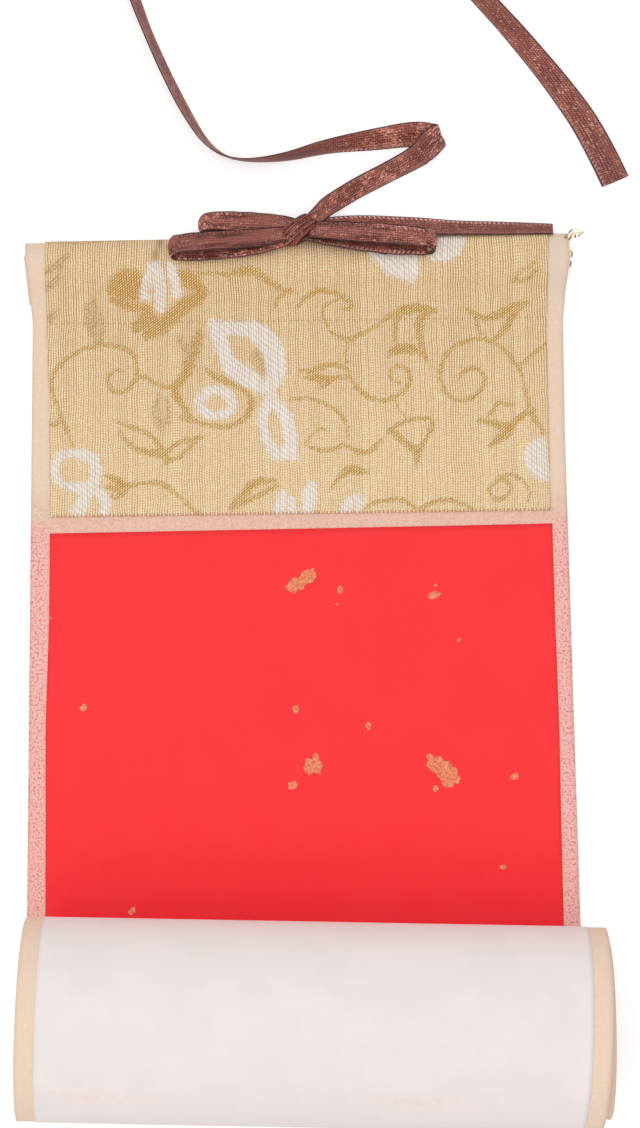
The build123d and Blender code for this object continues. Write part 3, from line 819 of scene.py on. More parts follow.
def stroke_line(points, parts):
    """A smooth line through a stroke's points and widths, with so many parts to each span."""
    knots = np.array(points, float)
    ends = np.vstack([2 * knots[0] - knots[1], knots, 2 * knots[-1] - knots[-2]])
    share = np.linspace(0, 1, parts, endpoint=False)[:, None]
    line = []
    for a, b, c, d in zip(ends, ends[1:], ends[2:], ends[3:]):
        line.append(
            b
            + share * (c - a) / 2
            + share**2 * (a - 2.5 * b + 2 * c - d / 2)
            + share**3 * (1.5 * (b - c) + (d - a) / 2)
        )
    return np.vstack([*line, knots[-1:]])


def figure_depth(x, y, strokes, reach=1.0):
    """How far each point lies inside the strokes' outline, in millimetres, down to -reach outside."""
    depth = np.full(len(x), -reach)
    for stroke in strokes:
        line = stroke_line(stroke, stroke_parts)
        low = line[:, :2].min(0) - line[:, 2].max() / 2 - reach
        high = line[:, :2].max(0) + line[:, 2].max() / 2 + reach
        near = np.flatnonzero((x > low[0]) & (x < high[0]) & (y > low[1]) & (y < high[1]))
        place = np.column_stack([x[near], y[near]])
        for start, end in zip(line, line[1:]):
            span = end[:2] - start[:2]
            share = np.clip((place - start[:2]) @ span / max(span @ span, 1e-9), 0, 1)
            gap = np.linalg.norm(place - start[:2] - share[:, None] * span, axis=1)
            inside = (start[2] + share * (end[2] - start[2])) / 2 - gap
            depth[near] = np.maximum(depth[near], inside)
    return depth


def nurbs_mesh(name, routes, thickness=0.0):
    """Smooth lines along routes of control points, as round strands where a thickness is given."""
    curve = bpy.data.curves.new(name, "CURVE")
    curve.dimensions = "3D"
    if thickness:
        curve.bevel_depth = thickness / 2
        curve.bevel_resolution = 1
        curve.use_fill_caps = True
    for route in routes:
        line = curve.splines.new("NURBS")
        line.points.add(len(route) - 1)
        for point, place in zip(line.points, route):
            point.co = (*place, 1)
        line.order_u = 3
        line.use_endpoint_u = True
        line.resolution_u = line_resolution
    holder = bpy.data.objects.new(name, curve)
    mesh = bpy.data.meshes.new_from_object(holder)
    bpy.data.objects.remove(holder)
    bpy.data.curves.remove(curve)
    return mesh


def smooth_line(columns):
    """The smooth lines that take the columns, three at a time, as their control points."""
    routes = [columns[:, first : first + 3] for first in range(0, columns.shape[1], 3)]
    mesh = nurbs_mesh("route", routes)
    spots = np.empty(len(mesh.vertices) * 3)
    mesh.vertices.foreach_get("co", spots)
    bpy.data.meshes.remove(mesh)
    return np.hstack(list(spots.reshape(len(routes), -1, 3)))


def ribbon_line(points, spacing):
    """Even steps along a ribbon: middle, direction across, width, strength of its painted glints, stitches
    and length so far.
    """
    places = np.array(points, float)
    ahead = np.gradient(places[:, :2], axis=0)
    ahead /= np.linalg.norm(ahead, axis=1)[:, None]
    lean = np.radians(places[:, 3])
    across = np.column_stack([np.cos(lean) * ahead[:, 1], -np.cos(lean) * ahead[:, 0], -np.sin(lean)])
    line = smooth_line(np.column_stack([places[:, :3], across, places[:, 4:]]))
    line[:, 1] += hem_far
    lengths = np.concatenate([[0], np.cumsum(np.linalg.norm(np.diff(line[:, :3], axis=0), axis=1))])
    evenly = steps(0, lengths[-1], spacing)
    line = np.column_stack([np.interp(evenly, lengths, column) for column in line.T])
    return line[:, :3], line[:, 3:6], line[:, 6], line[:, 7], line[:, 8], evenly


def ribbon_frames(place, across, spacing):
    """At each step, the directions across and out of the ribbon's face, and its bend for each millimetre."""
    ahead = np.gradient(place, axis=0)
    ahead /= np.linalg.norm(ahead, axis=1)[:, None]
    across = across - (across * ahead).sum(1)[:, None] * ahead
    across /= np.linalg.norm(across, axis=1)[:, None]
    return across, np.cross(across, ahead), np.gradient(ahead, axis=0) / spacing


def ribbon_mesh(name, points, shape):
    """A strip of ribbon along a line, with picot edges, and whatever shape adds out of its face.

    The shape is given the share across from -1 to 1 and the length so far, in millimetres.
    """
    place, across, width, glint_strength, stitches, evenly = ribbon_line(points, ribbon_spacing)
    across, out, bend = ribbon_frames(place, across, evenly[1])
    sharpness = np.linalg.norm(bend, axis=1)
    folded = ease(sharpness, 0, fold_bend)
    bulge = -fold_bulge * folded[:, None] * bend / np.maximum(sharpness, fold_bend)[:, None]

    def row_of(row_length):
        """The row of the grid at each length."""
        return np.rint(row_length / evenly[1]).astype(int)

    def placed(share, row_length):
        """The places of points of the strip."""
        row = row_of(row_length)
        picot = picot_depth * (row % 2) * (np.abs(share) > picot_from)
        reach = share * (width[row] / 2 - picot)
        relief = shape(share, row_length) * (1 - folded[row])
        spot = place[row] + across[row] * reach[:, None] + out[row] * relief[:, None]
        spot += bulge[row] * (1 - share**2)[:, None]
        return spot.T

    mesh, share, row_length = grid_mesh(name, rounded_steps(ribbon_columns), evenly, placed)
    row = row_of(row_length)
    store(mesh, "glint_strength", glint_strength[row])
    store(mesh, "stitches", stitches[row] * np.sign(share))
    # The relief is also kept for the painted shade in the creases
    store(mesh, "rise", shape(share, row_length))
    return mesh, place


def curled(share, length):
    """The slight hollow and waviness of a length of satin ribbon."""
    waves = ripple(share * ribbon_half, length, wave_reach, wave_seed)
    return ribbon_curl * (share**2 - 0.5) + ribbon_wave * waves


def crumpled(share, length):
    """The creases that run along a ribbon where it has been tied, and the small dents across them."""
    across = share * ribbon_half
    relief = sum(depth * ripple(across, length * pace, reach, seed) for depth, pace, reach, seed in creases)
    return crumple_depth * (relief + hollow_depth * np.cos(share * math.pi * hollows_across))


def colour(red, green, blue):
    """A colour as Blender keeps it, from the 0 to 255 of a screen."""
    shares = [value / 255 for value in (red, green, blue)]
    return [share / 12.92 if share <= 0.04045 else ((share + 0.055) / 1.055) ** 2.4 for share in shares]


class Nodes:
    """A node tree in the making, with a short call for each kind of node that the scroll uses."""

    def __init__(self, tree):
        self.nodes = tree.nodes
        self.links = tree.links

    def feed(self, socket, value):
        """Links a node's output to a socket, or sets the socket to a plain value."""
        if isinstance(value, bpy.types.NodeSocket):
            self.links.new(value, socket)
        elif socket.type == "RGBA" and len(value) == 3:
            socket.default_value = (*value, 1)
        else:
            socket.default_value = value

    def node(self, kind, *values, out=0, **settings):
        """Adds a node, feeds its inputs in order and gives one of its outputs."""
        made = self.nodes.new(kind)
        for name, value in settings.items():
            setattr(made, name, value)
        for socket, value in zip(made.inputs, values):
            self.feed(socket, value)
        return made.outputs[out]

    def maths(self, operation, *values):
        """One sum, named as Blender names it."""
        return self.node("ShaderNodeMath", *values, operation=operation)

    def add(self, *values):
        """One value plus another."""
        return self.maths("ADD", *values)

    def times(self, *values):
        """One value times another."""
        return self.maths("MULTIPLY", *values)

    def line(self, value, slope, start):
        """The value times the slope, plus the start."""
        return self.add(self.times(value, slope), start)

    def step(self, value, low, high, to_low=0.0, to_high=1.0):
        """A smooth change from one value to another as the input goes from low to high."""
        return self.node(
            "ShaderNodeMapRange", value, low, high, to_low, to_high, interpolation_type="SMOOTHSTEP"
        )

    def join(self, x=0.0, y=0.0, z=0.0):
        """Three values as one place."""
        return self.node("ShaderNodeCombineXYZ", x, y, z)

    def seen(self):
        """1 for a ray from the camera, also by way of a shiny or clear surface, and 0 for other light."""
        rays = self.nodes.new("ShaderNodeLightPath").outputs
        indirect = self.maths("MAXIMUM", rays["Is Glossy Ray"], rays["Is Transmission Ray"])
        return self.maths("MAXIMUM", rays["Is Camera Ray"], indirect)


class Paint(Nodes):
    """A material in the making."""

    def __init__(self, name, roughness, specular=0.5):
        self.material = bpy.data.materials.new(name)
        self.material.use_nodes = True
        super().__init__(self.material.node_tree)
        self.shader = self.nodes["Principled BSDF"]
        self.shader.inputs["Roughness"].default_value = roughness
        self.shader.inputs["Specular IOR Level"].default_value = specular

    def mix(self, share, first, second):
        """A colour between two, by the share of the second."""
        made = self.nodes.new("ShaderNodeMix")
        made.data_type = "RGBA"
        sockets = [socket for socket in made.inputs if socket.type == "RGBA"]
        self.feed(made.inputs[0], share)
        self.feed(sockets[0], first)
        self.feed(sockets[1], second)
        return next(socket for socket in made.outputs if socket.type == "RGBA")

    def attribute(self, name):
        """The number that the mesh keeps under a name."""
        return self.node("ShaderNodeAttribute", attribute_name=name, out=2)

    def sheet(self):
        """The share across and the millimetres along the piece, from its UV map."""
        made = self.nodes.new("ShaderNodeSeparateXYZ")
        self.links.new(self.node("ShaderNodeUVMap", uv_map="sheet"), made.inputs[0])
        return made.outputs[0], made.outputs[1]

    def paper(self):
        """Millimetres across and along a paper, and both as one place."""
        share, along = self.sheet()
        across = self.times(share, sheet_width / 2)
        return across, along, self.join(across, along)

    def object_place(self):
        """The place on the piece, in metres."""
        return self.node("ShaderNodeTexCoord", out=3)

    def noise(self, place, scale, detail=2.0, roughness=0.5):
        """Soft chance values from 0 to 1, finer with a larger scale."""
        made = self.nodes.new("ShaderNodeTexNoise")
        self.links.new(place, made.inputs["Vector"])
        made.inputs["Scale"].default_value = scale
        made.inputs["Detail"].default_value = detail
        made.inputs["Roughness"].default_value = roughness
        return made.outputs[0]

    def drawn_noise(self, across, across_pace, along, along_pace, detail, roughness=0.5):
        """Noise that is drawn out in the direction whose pace is smaller."""
        place = self.join(self.times(across, across_pace), self.times(along, along_pace))
        return self.noise(place, 1.0, detail, roughness)

    def speckled(self, place, scale, low, high):
        """0 to 1, with 1 in the small spots where a fine noise is high."""
        return self.step(self.noise(place, scale, 2.0, 0.6), low, high)

    def wave(self, value, period, sharpness=1.0):
        """0 to 1 and back with each period."""
        turned = self.maths("COSINE", self.times(value, 2 * math.pi / period))
        return self.maths("POWER", self.line(turned, 0.5, 0.5), sharpness)

    def luck(self, *places):
        """A chance value from 0 to 1 for each cell between the whole numbers of the places."""
        cells = [self.maths("FLOOR", place) for place in places]
        return self.node("ShaderNodeTexWhiteNoise", self.join(*cells))

    def bump(self, height, distance):
        """Relief whose height of 1 stands out by the distance, in millimetres."""
        made = self.nodes.new("ShaderNodeBump")
        made.inputs["Distance"].default_value = distance * MM
        self.feed(made.inputs["Height"], height)
        self.links.new(made.outputs[0], self.shader.inputs["Normal"])

    def finish(self, base, roughness=None):
        """The material, with its colour and, where it varies, its roughness."""
        self.feed(self.shader.inputs["Base Color"], base)
        if roughness is not None:
            self.feed(self.shader.inputs["Roughness"], roughness)
        return self.material


def mount_finish(papers):
    """Tan paper with fine fibres, and the red dye that has come off onto it beside the writing paper."""
    paint = Paint("mount tan paper", 0.85, 0.15)
    across, along, place = paint.paper()
    fibres = paint.drawn_noise(across, 1.6, along, 0.35, 3.0, 0.6)
    blotches = paint.noise(place, 0.12, 2.0)
    base = paint.mix(paint.step(blotches, 0.3, 0.7), papers.mount, papers.mount_warm)
    base = paint.mix(paint.step(fibres, 0.4, 0.65, 0.0, 0.55), base, papers.mount_pale)
    flecks = paint.drawn_noise(across, 0.7, along, 1.4, 3.0, 0.7)
    base = paint.mix(paint.step(flecks, 0.45, 0.66, 0.0, 0.8), base, papers.mount_fleck)
    # Painted shade on the hem
    base = paint.mix(paint.attribute("hem_shade"), base, papers.mount_hem_shade)
    base = paint.mix(paint.attribute("pale"), base, papers.mount_pale)
    dye = paint.attribute("dye")
    haze = paint.step(paint.noise(place, 0.5, 3.0, 0.6), 0.2, 0.75, 0.55, 1.0)
    base = paint.mix(paint.times(dye, haze), base, papers.dye_haze_and_red_reflection)
    spots = paint.times(paint.speckled(place, 1.9, 0.47, 0.62), dye)
    base = paint.mix(paint.times(spots, 0.85), base, papers.dye)
    pale_spots = paint.times(paint.speckled(paint.join(along, across), 2.4, 0.5, 0.62), dye)
    base = paint.mix(paint.times(pale_spots, 0.6), base, papers.mount_pale)
    paint.bump(paint.add(fibres, paint.noise(place, 1.6, 2.0)), 0.03)
    return paint.finish(base)


def lining_finish(papers):
    """White paper with soft blotches and the few faint pink stains that show on the roll."""
    paint = Paint("lining white paper", 0.9, 0.1)
    across, along, place = paint.paper()
    blotches = paint.noise(place, 0.09, 3.0, 0.55)
    base = paint.mix(paint.step(blotches, 0.3, 0.72, 0.0, 0.75), papers.lining, papers.lining_shade)
    streaks = paint.drawn_noise(across, 0.12, along, 1.3, 2.0)
    base = paint.mix(paint.step(streaks, 0.5, 0.8, 0.0, 0.35), base, papers.lining_shade)
    stain = paint.times(paint.attribute("stain"), paint.step(paint.noise(place, 0.45, 3.0, 0.6), 0.35, 0.65))
    base = paint.mix(paint.times(stain, 0.24), base, papers.dye_haze_and_red_reflection)
    # Painted pink reflection of the red paper on the lining
    base = paint.mix(paint.attribute("red_reflection"), base, papers.dye_haze_and_red_reflection)
    paint.bump(paint.noise(place, 1.2, 3.0, 0.6), 0.03)
    return paint.finish(base)


def red_finish(papers):
    """Smooth red writing paper, with painted shade that deepens it where it nears the roll."""
    paint = Paint("red writing paper", 0.7, 0.15)
    across, along, place = paint.paper()
    # Painted shade on the red near the roll
    base = paint.mix(paint.attribute("deep"), papers.red, papers.red_fibres_and_roll_shade)
    fibres = paint.drawn_noise(across, 0.4, along, 3.0, 3.0, 0.6)
    base = paint.mix(paint.step(fibres, 0.3, 0.75, 0.0, 0.12), base, papers.red_fibres_and_roll_shade)
    clouds = paint.noise(place, 0.07, 2.0)
    base = paint.mix(paint.step(clouds, 0.35, 0.7, 0.0, 0.1), base, papers.red_pale)
    paint.bump(paint.noise(place, 1.8, 3.0, 0.6), 0.02)
    return paint.finish(base)


def leaf_finish(papers):
    """Beaten gold leaf, orange over the red, with darker and brighter specks."""
    paint = Paint("gold leaf", 0.55, 0.4)
    place = paint.object_place()
    tone = paint.noise(place, 1400.0, 3.0, 0.7)
    base = paint.mix(paint.step(tone, 0.38, 0.5), papers.leaf_deep, papers.leaf)
    base = paint.mix(paint.step(tone, 0.56, 0.68, 0.0, 0.8), base, papers.leaf_bright)
    paint.bump(tone, 0.05)
    return paint.finish(base)


def brocade_finish(brocade):
    """Corded ground weave, with vines in gold thread and flowers in silver thread."""
    paint = Paint("brocade", 0.75, 0.2)
    _, along = paint.sheet()
    across = paint.attribute("across")
    up = paint.attribute("up")

    # Cords of the ground, and the beads along them
    wander = paint.drawn_noise(across, 0.11, along, 0.16, 2.0)
    warp = paint.add(across, paint.times(wander, 1.1))
    rib = paint.times(warp, 1 / rib_pitch)
    stagger = paint.times(paint.maths("MODULO", paint.maths("FLOOR", rib), 2.0), 0.5)
    bead = paint.add(paint.times(along, 1 / bead_pitch), stagger)
    rib_luck = paint.luck(rib)
    bead_luck = paint.luck(rib, bead)
    fine_luck = paint.luck(paint.times(rib, 2.0), paint.times(bead, 1.6), 4.0)
    cord = paint.wave(warp, rib_pitch, 0.8)
    weft = paint.wave(paint.add(along, paint.times(rib_luck, weft_pitch)), weft_pitch)

    # Ground threads and the gaps between the cords
    grain = paint.add(paint.times(weft, 0.55), paint.times(fine_luck, 0.25))
    grain = paint.step(paint.add(grain, paint.times(bead_luck, 0.2)), 0.15, 0.85)
    base = paint.mix(grain, brocade.ground_deep, brocade.ground_bright)
    gap = paint.times(paint.step(cord, 0.95, 0.2), paint.step(up, 10.0, 50.0, 0.75, 1.0))
    gap = paint.times(gap, paint.line(rib_luck, 0.45, 0.6))
    gap = paint.times(gap, paint.line(weft, 0.4, 0.65))
    line = paint.mix(paint.step(rib_luck, 0.6, 0.95), brocade.gap, brocade.gap_red)
    base = paint.mix(gap, base, line)

    # Brown threads of the shaded leaves
    twist = paint.add(along, paint.times(across, twist_slant))
    dash = paint.wave(twist, dash_pitch)
    ragged = paint.add(bead_luck, -0.5)
    shade_depth = paint.add(paint.attribute("shade"), paint.times(ragged, 0.8))
    tufts = paint.add(paint.times(bead_luck, 0.6), paint.times(dash, 0.4))
    shade_here = paint.times(paint.step(shade_depth, -0.4, 0.6), paint.step(tufts, 0.35, 0.65, 0.1, 1.0))
    base = paint.mix(paint.times(shade_here, 0.6), base, brocade.shade)

    # Gold thread of the vines, broken up where it is thin
    gold_depth = paint.add(paint.attribute("gold"), paint.times(ragged, 0.62))
    thin = paint.step(paint.attribute("gold"), 0.75, 0.45)
    broken = paint.times(thin, paint.step(dash, 0.6, 0.25))
    gold_here = paint.times(paint.step(gold_depth, -0.1, 0.1), paint.line(broken, -0.4, 1.0))
    rope = paint.times(paint.wave(twist, rope_pitch), paint.wave(warp, rib_pitch, 0.6))
    gold = paint.mix(paint.step(rope, 0.05, 0.5), brocade.gold_deep, brocade.gold)
    beads = paint.times(paint.step(rope, 0.25, 0.65), paint.step(fine_luck, 0.2, 0.6))
    gold = paint.mix(beads, gold, brocade.gold_bright)
    base = paint.mix(paint.times(gold_here, 0.9), base, gold)

    # Silver thread of the flowers, hatched aslant
    silver_depth = paint.add(paint.attribute("silver"), paint.times(ragged, 0.7))
    silver_here = paint.times(paint.step(silver_depth, -0.5, 0.5), paint.line(fine_luck, 0.4, 0.58))
    slant = paint.add(paint.times(along, -1.0), paint.times(across, hatch_slant))
    bent = paint.add(slant, paint.times(paint.noise(paint.join(across, along), 0.5), 1.2))
    hatch = paint.times(paint.wave(bent, hatch_pitch, 3.0), paint.line(bead_luck, 0.4, 0.3))
    silver = paint.mix(hatch, brocade.silver, brocade.silver_shade)
    lines = paint.times(paint.step(cord, 0.85, 0.2), paint.line(rib_luck, 0.45, 0.35))
    silver = paint.mix(lines, silver, brocade.silver_line)
    base = paint.mix(silver_here, base, silver)

    # Grey patches beside the bow, the stitches along the lower edge, and the hem's glued crease
    base = paint.mix(paint.attribute("patch"), base, brocade.patch)
    stitches = paint.step(paint.wave(across, edge_stitch_pitch), 0.35, 0.7)
    stitches = paint.times(paint.step(up, 0.75, 0.35), stitches)
    base = paint.mix(paint.times(stitches, 0.6), base, brocade.edge_stitch)
    crease_line = paint.times(
        paint.step(paint.maths("ABSOLUTE", paint.add(up, -crease_up)), 0.3, 0.1),
        paint.step(paint.wave(across, crease_stitch_pitch), 0.4, 0.7),
    )
    base = paint.mix(paint.times(crease_line, 0.4), base, brocade.gap)

    # Relief of the weave, and the smoother thread of the figures
    figures = paint.maths("MAXIMUM", gold_here, silver_here)
    relief = paint.add(paint.times(cord, 0.7), paint.times(grain, 0.5))
    relief = paint.add(relief, paint.times(figures, paint.add(rope, 0.2)))
    paint.bump(relief, 0.06)
    return paint.finish(base, paint.line(figures, -0.2, 0.8))


def ribbon_finish(name, ribbon, light, deep):
    """One face of the ribbon: twill, painted glints, painted shade in creases, dark edges, light stitches by
    one edge.
    """
    paint = Paint(name, 0.5, 0.22)
    share, along = paint.sheet()
    across = paint.times(share, ribbon_half)
    side = paint.maths("ABSOLUTE", share)
    place = paint.join(across, along)
    twill = paint.add(along, paint.times(across, twill_slant))
    weave = paint.times(paint.wave(across, warp_pitch), paint.wave(twill, twill_pitch))
    thread = paint.luck(paint.times(twill, 1 / thread_pitch), paint.times(across, 1 / thread_pitch))
    glitter = paint.luck(paint.times(twill, 1 / glitter_length), paint.times(across, 1 / glitter_width), 5.0)
    streaks = paint.drawn_noise(across, 1.6, along, 0.12, 3.0, 0.6)

    # Shaded threads, painted shade in the creases, and painted highlights where the satin catches the light
    tone = paint.add(paint.times(paint.step(streaks, 0.3, 0.7), 0.45), paint.times(weave, 0.35))
    base = paint.mix(paint.add(tone, paint.times(thread, 0.2)), deep, light)
    # Painted shade in the creases, where the ribbon's relief is low
    base = paint.mix(paint.step(paint.attribute("rise"), 0.1, -0.4, 0.0, 0.85), base, ribbon.crease_shade)
    patches = paint.step(paint.noise(place, 0.3, 2.0), 0.35, 0.65, 0.4, 1.0)
    shine = paint.times(paint.attribute("glint_strength"), patches)
    low = paint.line(shine, -0.42, 0.66)
    speck = paint.add(paint.times(weave, 0.5), paint.times(glitter, 0.5))
    lit = paint.step(speck, low, paint.add(low, 0.14))
    glints = paint.times(lit, paint.line(shine, 0.5, 0.35))
    base = paint.mix(glints, base, ribbon.glint)
    # Painted sparks of highlight, as strong as the glints there
    sparks = paint.step(paint.luck(paint.times(twill, 2.4), paint.times(across, 2.8), 9.0), 0.93, 0.96)
    base = paint.mix(paint.times(sparks, shine), base, ribbon.spark)

    # Stitches beside one edge, and both edges darker
    luck = paint.drawn_noise(share, 2.0, along, 0.09, 1.0)
    row = paint.step(paint.maths("ABSOLUTE", paint.add(side, -0.8)), 0.13, 0.05)
    slanting = paint.wave(paint.add(along, paint.times(across, stitch_slant)), stitch_pitch)
    stitch = paint.times(row, paint.step(slanting, 0.5, 0.85))
    stitch = paint.times(stitch, paint.step(luck, 0.36, 0.52, 0.35, 1.0))
    stitch = paint.times(stitch, paint.maths("MAXIMUM", paint.attribute("stitches"), 0.0))
    base = paint.mix(stitch, base, ribbon.stitch)
    # Both edges darker
    base = paint.mix(paint.step(side, 0.88, 0.95, 0.0, 0.85), base, ribbon.edge)
    relief = paint.add(paint.add(paint.times(thread, 0.5), paint.times(glints, 0.6)), stitch)
    paint.bump(relief, 0.06)
    return paint.finish(base)


def wood_finish(name, light, dark):
    """Plain sawn wood with its grain along the scroll's width."""
    paint = Paint(name, 0.6, 0.3)
    place = paint.object_place()
    stretched = paint.node("ShaderNodeVectorMath", place, wood_fineness, operation="MULTIPLY")
    grain = paint.noise(stretched, 1.0, 4.0, 0.6)
    paint.bump(grain, 0.08)
    return paint.finish(paint.mix(paint.step(grain, 0.35, 0.65), light, dark))


def colour_property(name, description, red, green, blue):
    """A colour setting whose default is given from 0 to 255."""
    return bpy.props.FloatVectorProperty(
        name=name, description=description, default=colour(red, green, blue), min=0, max=1, subtype="COLOR"
    )


class ScrollPapers(bpy.types.PropertyGroup):
    """Colours of the scroll's papers."""

    mount: colour_property("Mount", "Tan paper that carries the others", 224, 197, 171)
    mount_warm: colour_property("Mount, warm", "Warmer patches of the tan paper", 225, 192, 164)
    mount_pale: colour_property("Mount, pale", "Paler fibres of the tan paper", 240, 214, 193)
    mount_fleck: colour_property("Mount, flecks", "Darker fibres of the tan paper", 214, 184, 156)
    # Painted shade on the hem, where its far side turns away from the light
    mount_hem_shade: colour_property("Mount, grey", "Greyer tan paper on the hem", 201, 191, 172)
    dye: colour_property("Dye", "Specks of red dye on the tan paper", 212, 112, 114)
    # Pink haze of the dye, also used for the painted reflection of the red paper on the lining
    dye_haze_and_red_reflection: colour_property("Dye haze", "Tan paper stained by the dye", 250, 181, 179)
    lining: colour_property("Lining", "White paper on the back", 239, 229, 227)
    lining_shade: colour_property("Lining, shaded", "Greyer patches of the white paper", 233, 225, 222)
    red: colour_property("Red", "Red writing paper", 253, 58, 62)
    # Painted shade on the red near the roll, also used for the red's darker fibres
    red_fibres_and_roll_shade: colour_property("Red, deep", "Writing paper near the roll", 243, 40, 50)
    red_pale: colour_property("Red, pale", "Paler clouds in the writing paper", 255, 76, 78)
    leaf: colour_property("Gold leaf", "Gold leaf over the red", 236, 136, 94)
    leaf_deep: colour_property("Gold leaf, deep", "Dark specks in the gold leaf", 212, 100, 70)
    leaf_bright: colour_property("Gold leaf, bright", "Bright specks in the gold leaf", 252, 190, 142)


class ScrollBrocade(bpy.types.PropertyGroup):
    """Colours and relief of the brocade heading."""

    ground_deep: colour_property("Ground, deep", "Darker threads of the ground", 232, 187, 137)
    ground_bright: colour_property("Ground, bright", "Light on the ground's cords", 255, 246, 208)
    gap: colour_property("Gaps", "Between the ground's cords", 166, 120, 72)
    gap_red: colour_property("Gaps, red", "Reddish threads between the cords", 178, 130, 94)
    gold: colour_property("Gold", "Thread of the vines", 230, 182, 98)
    gold_deep: colour_property("Gold, deep", "Shaded twist of the gold thread", 166, 116, 48)
    gold_bright: colour_property("Gold, bright", "Light on the gold thread", 255, 238, 184)
    silver: colour_property("Silver", "Thread of the flowers", 255, 252, 246)
    silver_shade: colour_property("Silver, shaded", "Slanting shade in the flowers", 204, 192, 186)
    silver_line: colour_property("Silver, lines", "Thin lines down the flowers", 192, 166, 152)
    shade: colour_property("Shade", "Brown threads of the shaded leaves", 168, 128, 70)
    # Darker grey patch beside the bow
    patch: colour_property("Smudge", "Grey smudge beside the bow", 150, 128, 98)
    edge_stitch: colour_property("Edge stitches", "Stitches along the lower edge", 190, 104, 96)
    relief: bpy.props.FloatProperty(
        name="Relief", description="How far the woven figures stand out", default=0.07 * MM, unit="LENGTH"
    )


class ScrollRibbon(bpy.types.PropertyGroup):
    """Size and colours of the ribbon."""

    satin: colour_property("Satin", "Satin face", 176, 102, 86)
    satin_deep: colour_property("Satin, deep", "Shaded threads of the satin", 106, 50, 44)
    glint: colour_property("Glints", "Light caught by the satin", 246, 162, 138)
    # Painted sparks of highlight on the satin
    spark: colour_property("Sparks", "Brightest threads of the satin", 250, 196, 180)
    stitch: colour_property("Stitches", "Light stitches beside the edges", 250, 206, 196)
    back: colour_property("Back", "Duller back of the ribbon", 164, 100, 88)
    back_deep: colour_property("Back, deep", "Shaded threads of the back", 116, 62, 56)
    # Painted shade in the creases of the ribbon
    crease_shade: colour_property("Creases", "Depth of the creases", 70, 28, 26)
    # Darker along both edges
    edge: colour_property("Edge", "Dark binding of both edges", 66, 44, 46)
    width: bpy.props.FloatProperty(
        name="Width", description="Width of the ribbon", default=2 * ribbon_half * MM, unit="LENGTH"
    )


class ScrollStage(bpy.types.PropertyGroup):
    """Light round the scroll."""

    sky: bpy.props.FloatProperty(
        name="Sky", description="Even light from all round", default=0.82, min=0, max=1, subtype="FACTOR"
    )
    lamp: bpy.props.FloatProperty(
        name="Lamp", description="Power of the large soft lamp overhead", default=4.0, unit="POWER"
    )


def ribbon_finishes(ribbon):
    """The ribbon's satin face and its duller back."""
    return (
        ribbon_finish("ribbon satin", ribbon, ribbon.satin, ribbon.satin_deep),
        ribbon_finish("ribbon back", ribbon, ribbon.back, ribbon.back_deep),
    )


def new_ribbon(name, mesh, finishes):
    """Makes a strip a piece of ribbon, with its satin face on one side and its duller back on the other."""
    piece = new_piece(name, mesh, finishes[0], ribbon_thickness, 0)
    mesh.materials.append(finishes[1])
    piece.modifiers["thickness"].material_offset = 1
    return piece


class SCROLL_OT_ribbon_tails(bpy.types.Operator):
    """Lays the ribbon's two tails, the long one loose on the table."""

    bl_idname = "scroll.ribbon_tails"
    bl_label = "Ribbon tails"

    def execute(self, context):
        finishes = ribbon_finishes(context.scene.scroll_ribbon)
        tails = (
            ("long_tail", long_tail_route, "ribbon_long_tail"),
            ("short_tail", short_tail_route, "ribbon_short_tail"),
        )
        for name, route, node in tails:
            mesh, path = ribbon_mesh(name, route, curled)
            piece = new_ribbon(name, mesh, finishes)
            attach(piece, "root")
            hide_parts(node)
        return {"FINISHED"}


def knot_mesh(name):
    """The knot's band: a pleated ring of ribbon wrapped aslant over the bow, closed at both sides."""
    heading = math.radians(knot_heading)

    def placed(share, around):
        """The places of points of the band, by their share across it and their length round it."""
        angle = around / knot_reach
        side = np.sqrt(np.clip(knot_fullness - np.abs(share) ** knot_squareness, 0, 1))
        sway = pleat_sway * np.sin(2 * angle)
        pleat = pleat_depth * np.cos(math.pi * knot_pleats * share + sway) * (1 - share**4)
        rumple = pleat_depth * ripple(share * rumple_width, around, rumple_reach, rumple_seed)
        ahead = -(knot_reach * side + pleat) * np.cos(angle)
        height = knot_rise * (knot_side_rise + (1 - knot_side_rise) * side)
        rise = (height + pleat + rumple) * np.sin(angle)
        along = share * knot_width / 2
        x = knot_middle[0] + ahead * math.cos(heading) + along * math.sin(heading)
        y = hem_far + knot_middle[1] + ahead * math.sin(heading) - along * math.cos(heading)
        return x, y, knot_middle[2] + rise

    rows = steps(0, 2 * math.pi * knot_reach, knot_spacing)
    mesh, share, _ = grid_mesh(name, rounded_steps(knot_columns), rows, placed)
    # Painted glints, weaker towards the band's sides
    store(mesh, "glint_strength", knot_glint_strength - knot_glint_fall * np.abs(share))
    # Painted shade in the hollows of the pleats
    store(mesh, "rise", pleat_shade * (np.cos(math.pi * knot_pleats * share) - 1))
    welded = bmesh.new()
    welded.from_mesh(mesh)
    bmesh.ops.remove_doubles(welded, verts=welded.verts, dist=weld_distance)
    bmesh.ops.holes_fill(welded, edges=welded.edges, sides=0)
    bmesh.ops.recalc_face_normals(welded, faces=welded.faces)
    welded.to_mesh(mesh)
    welded.free()
    return mesh


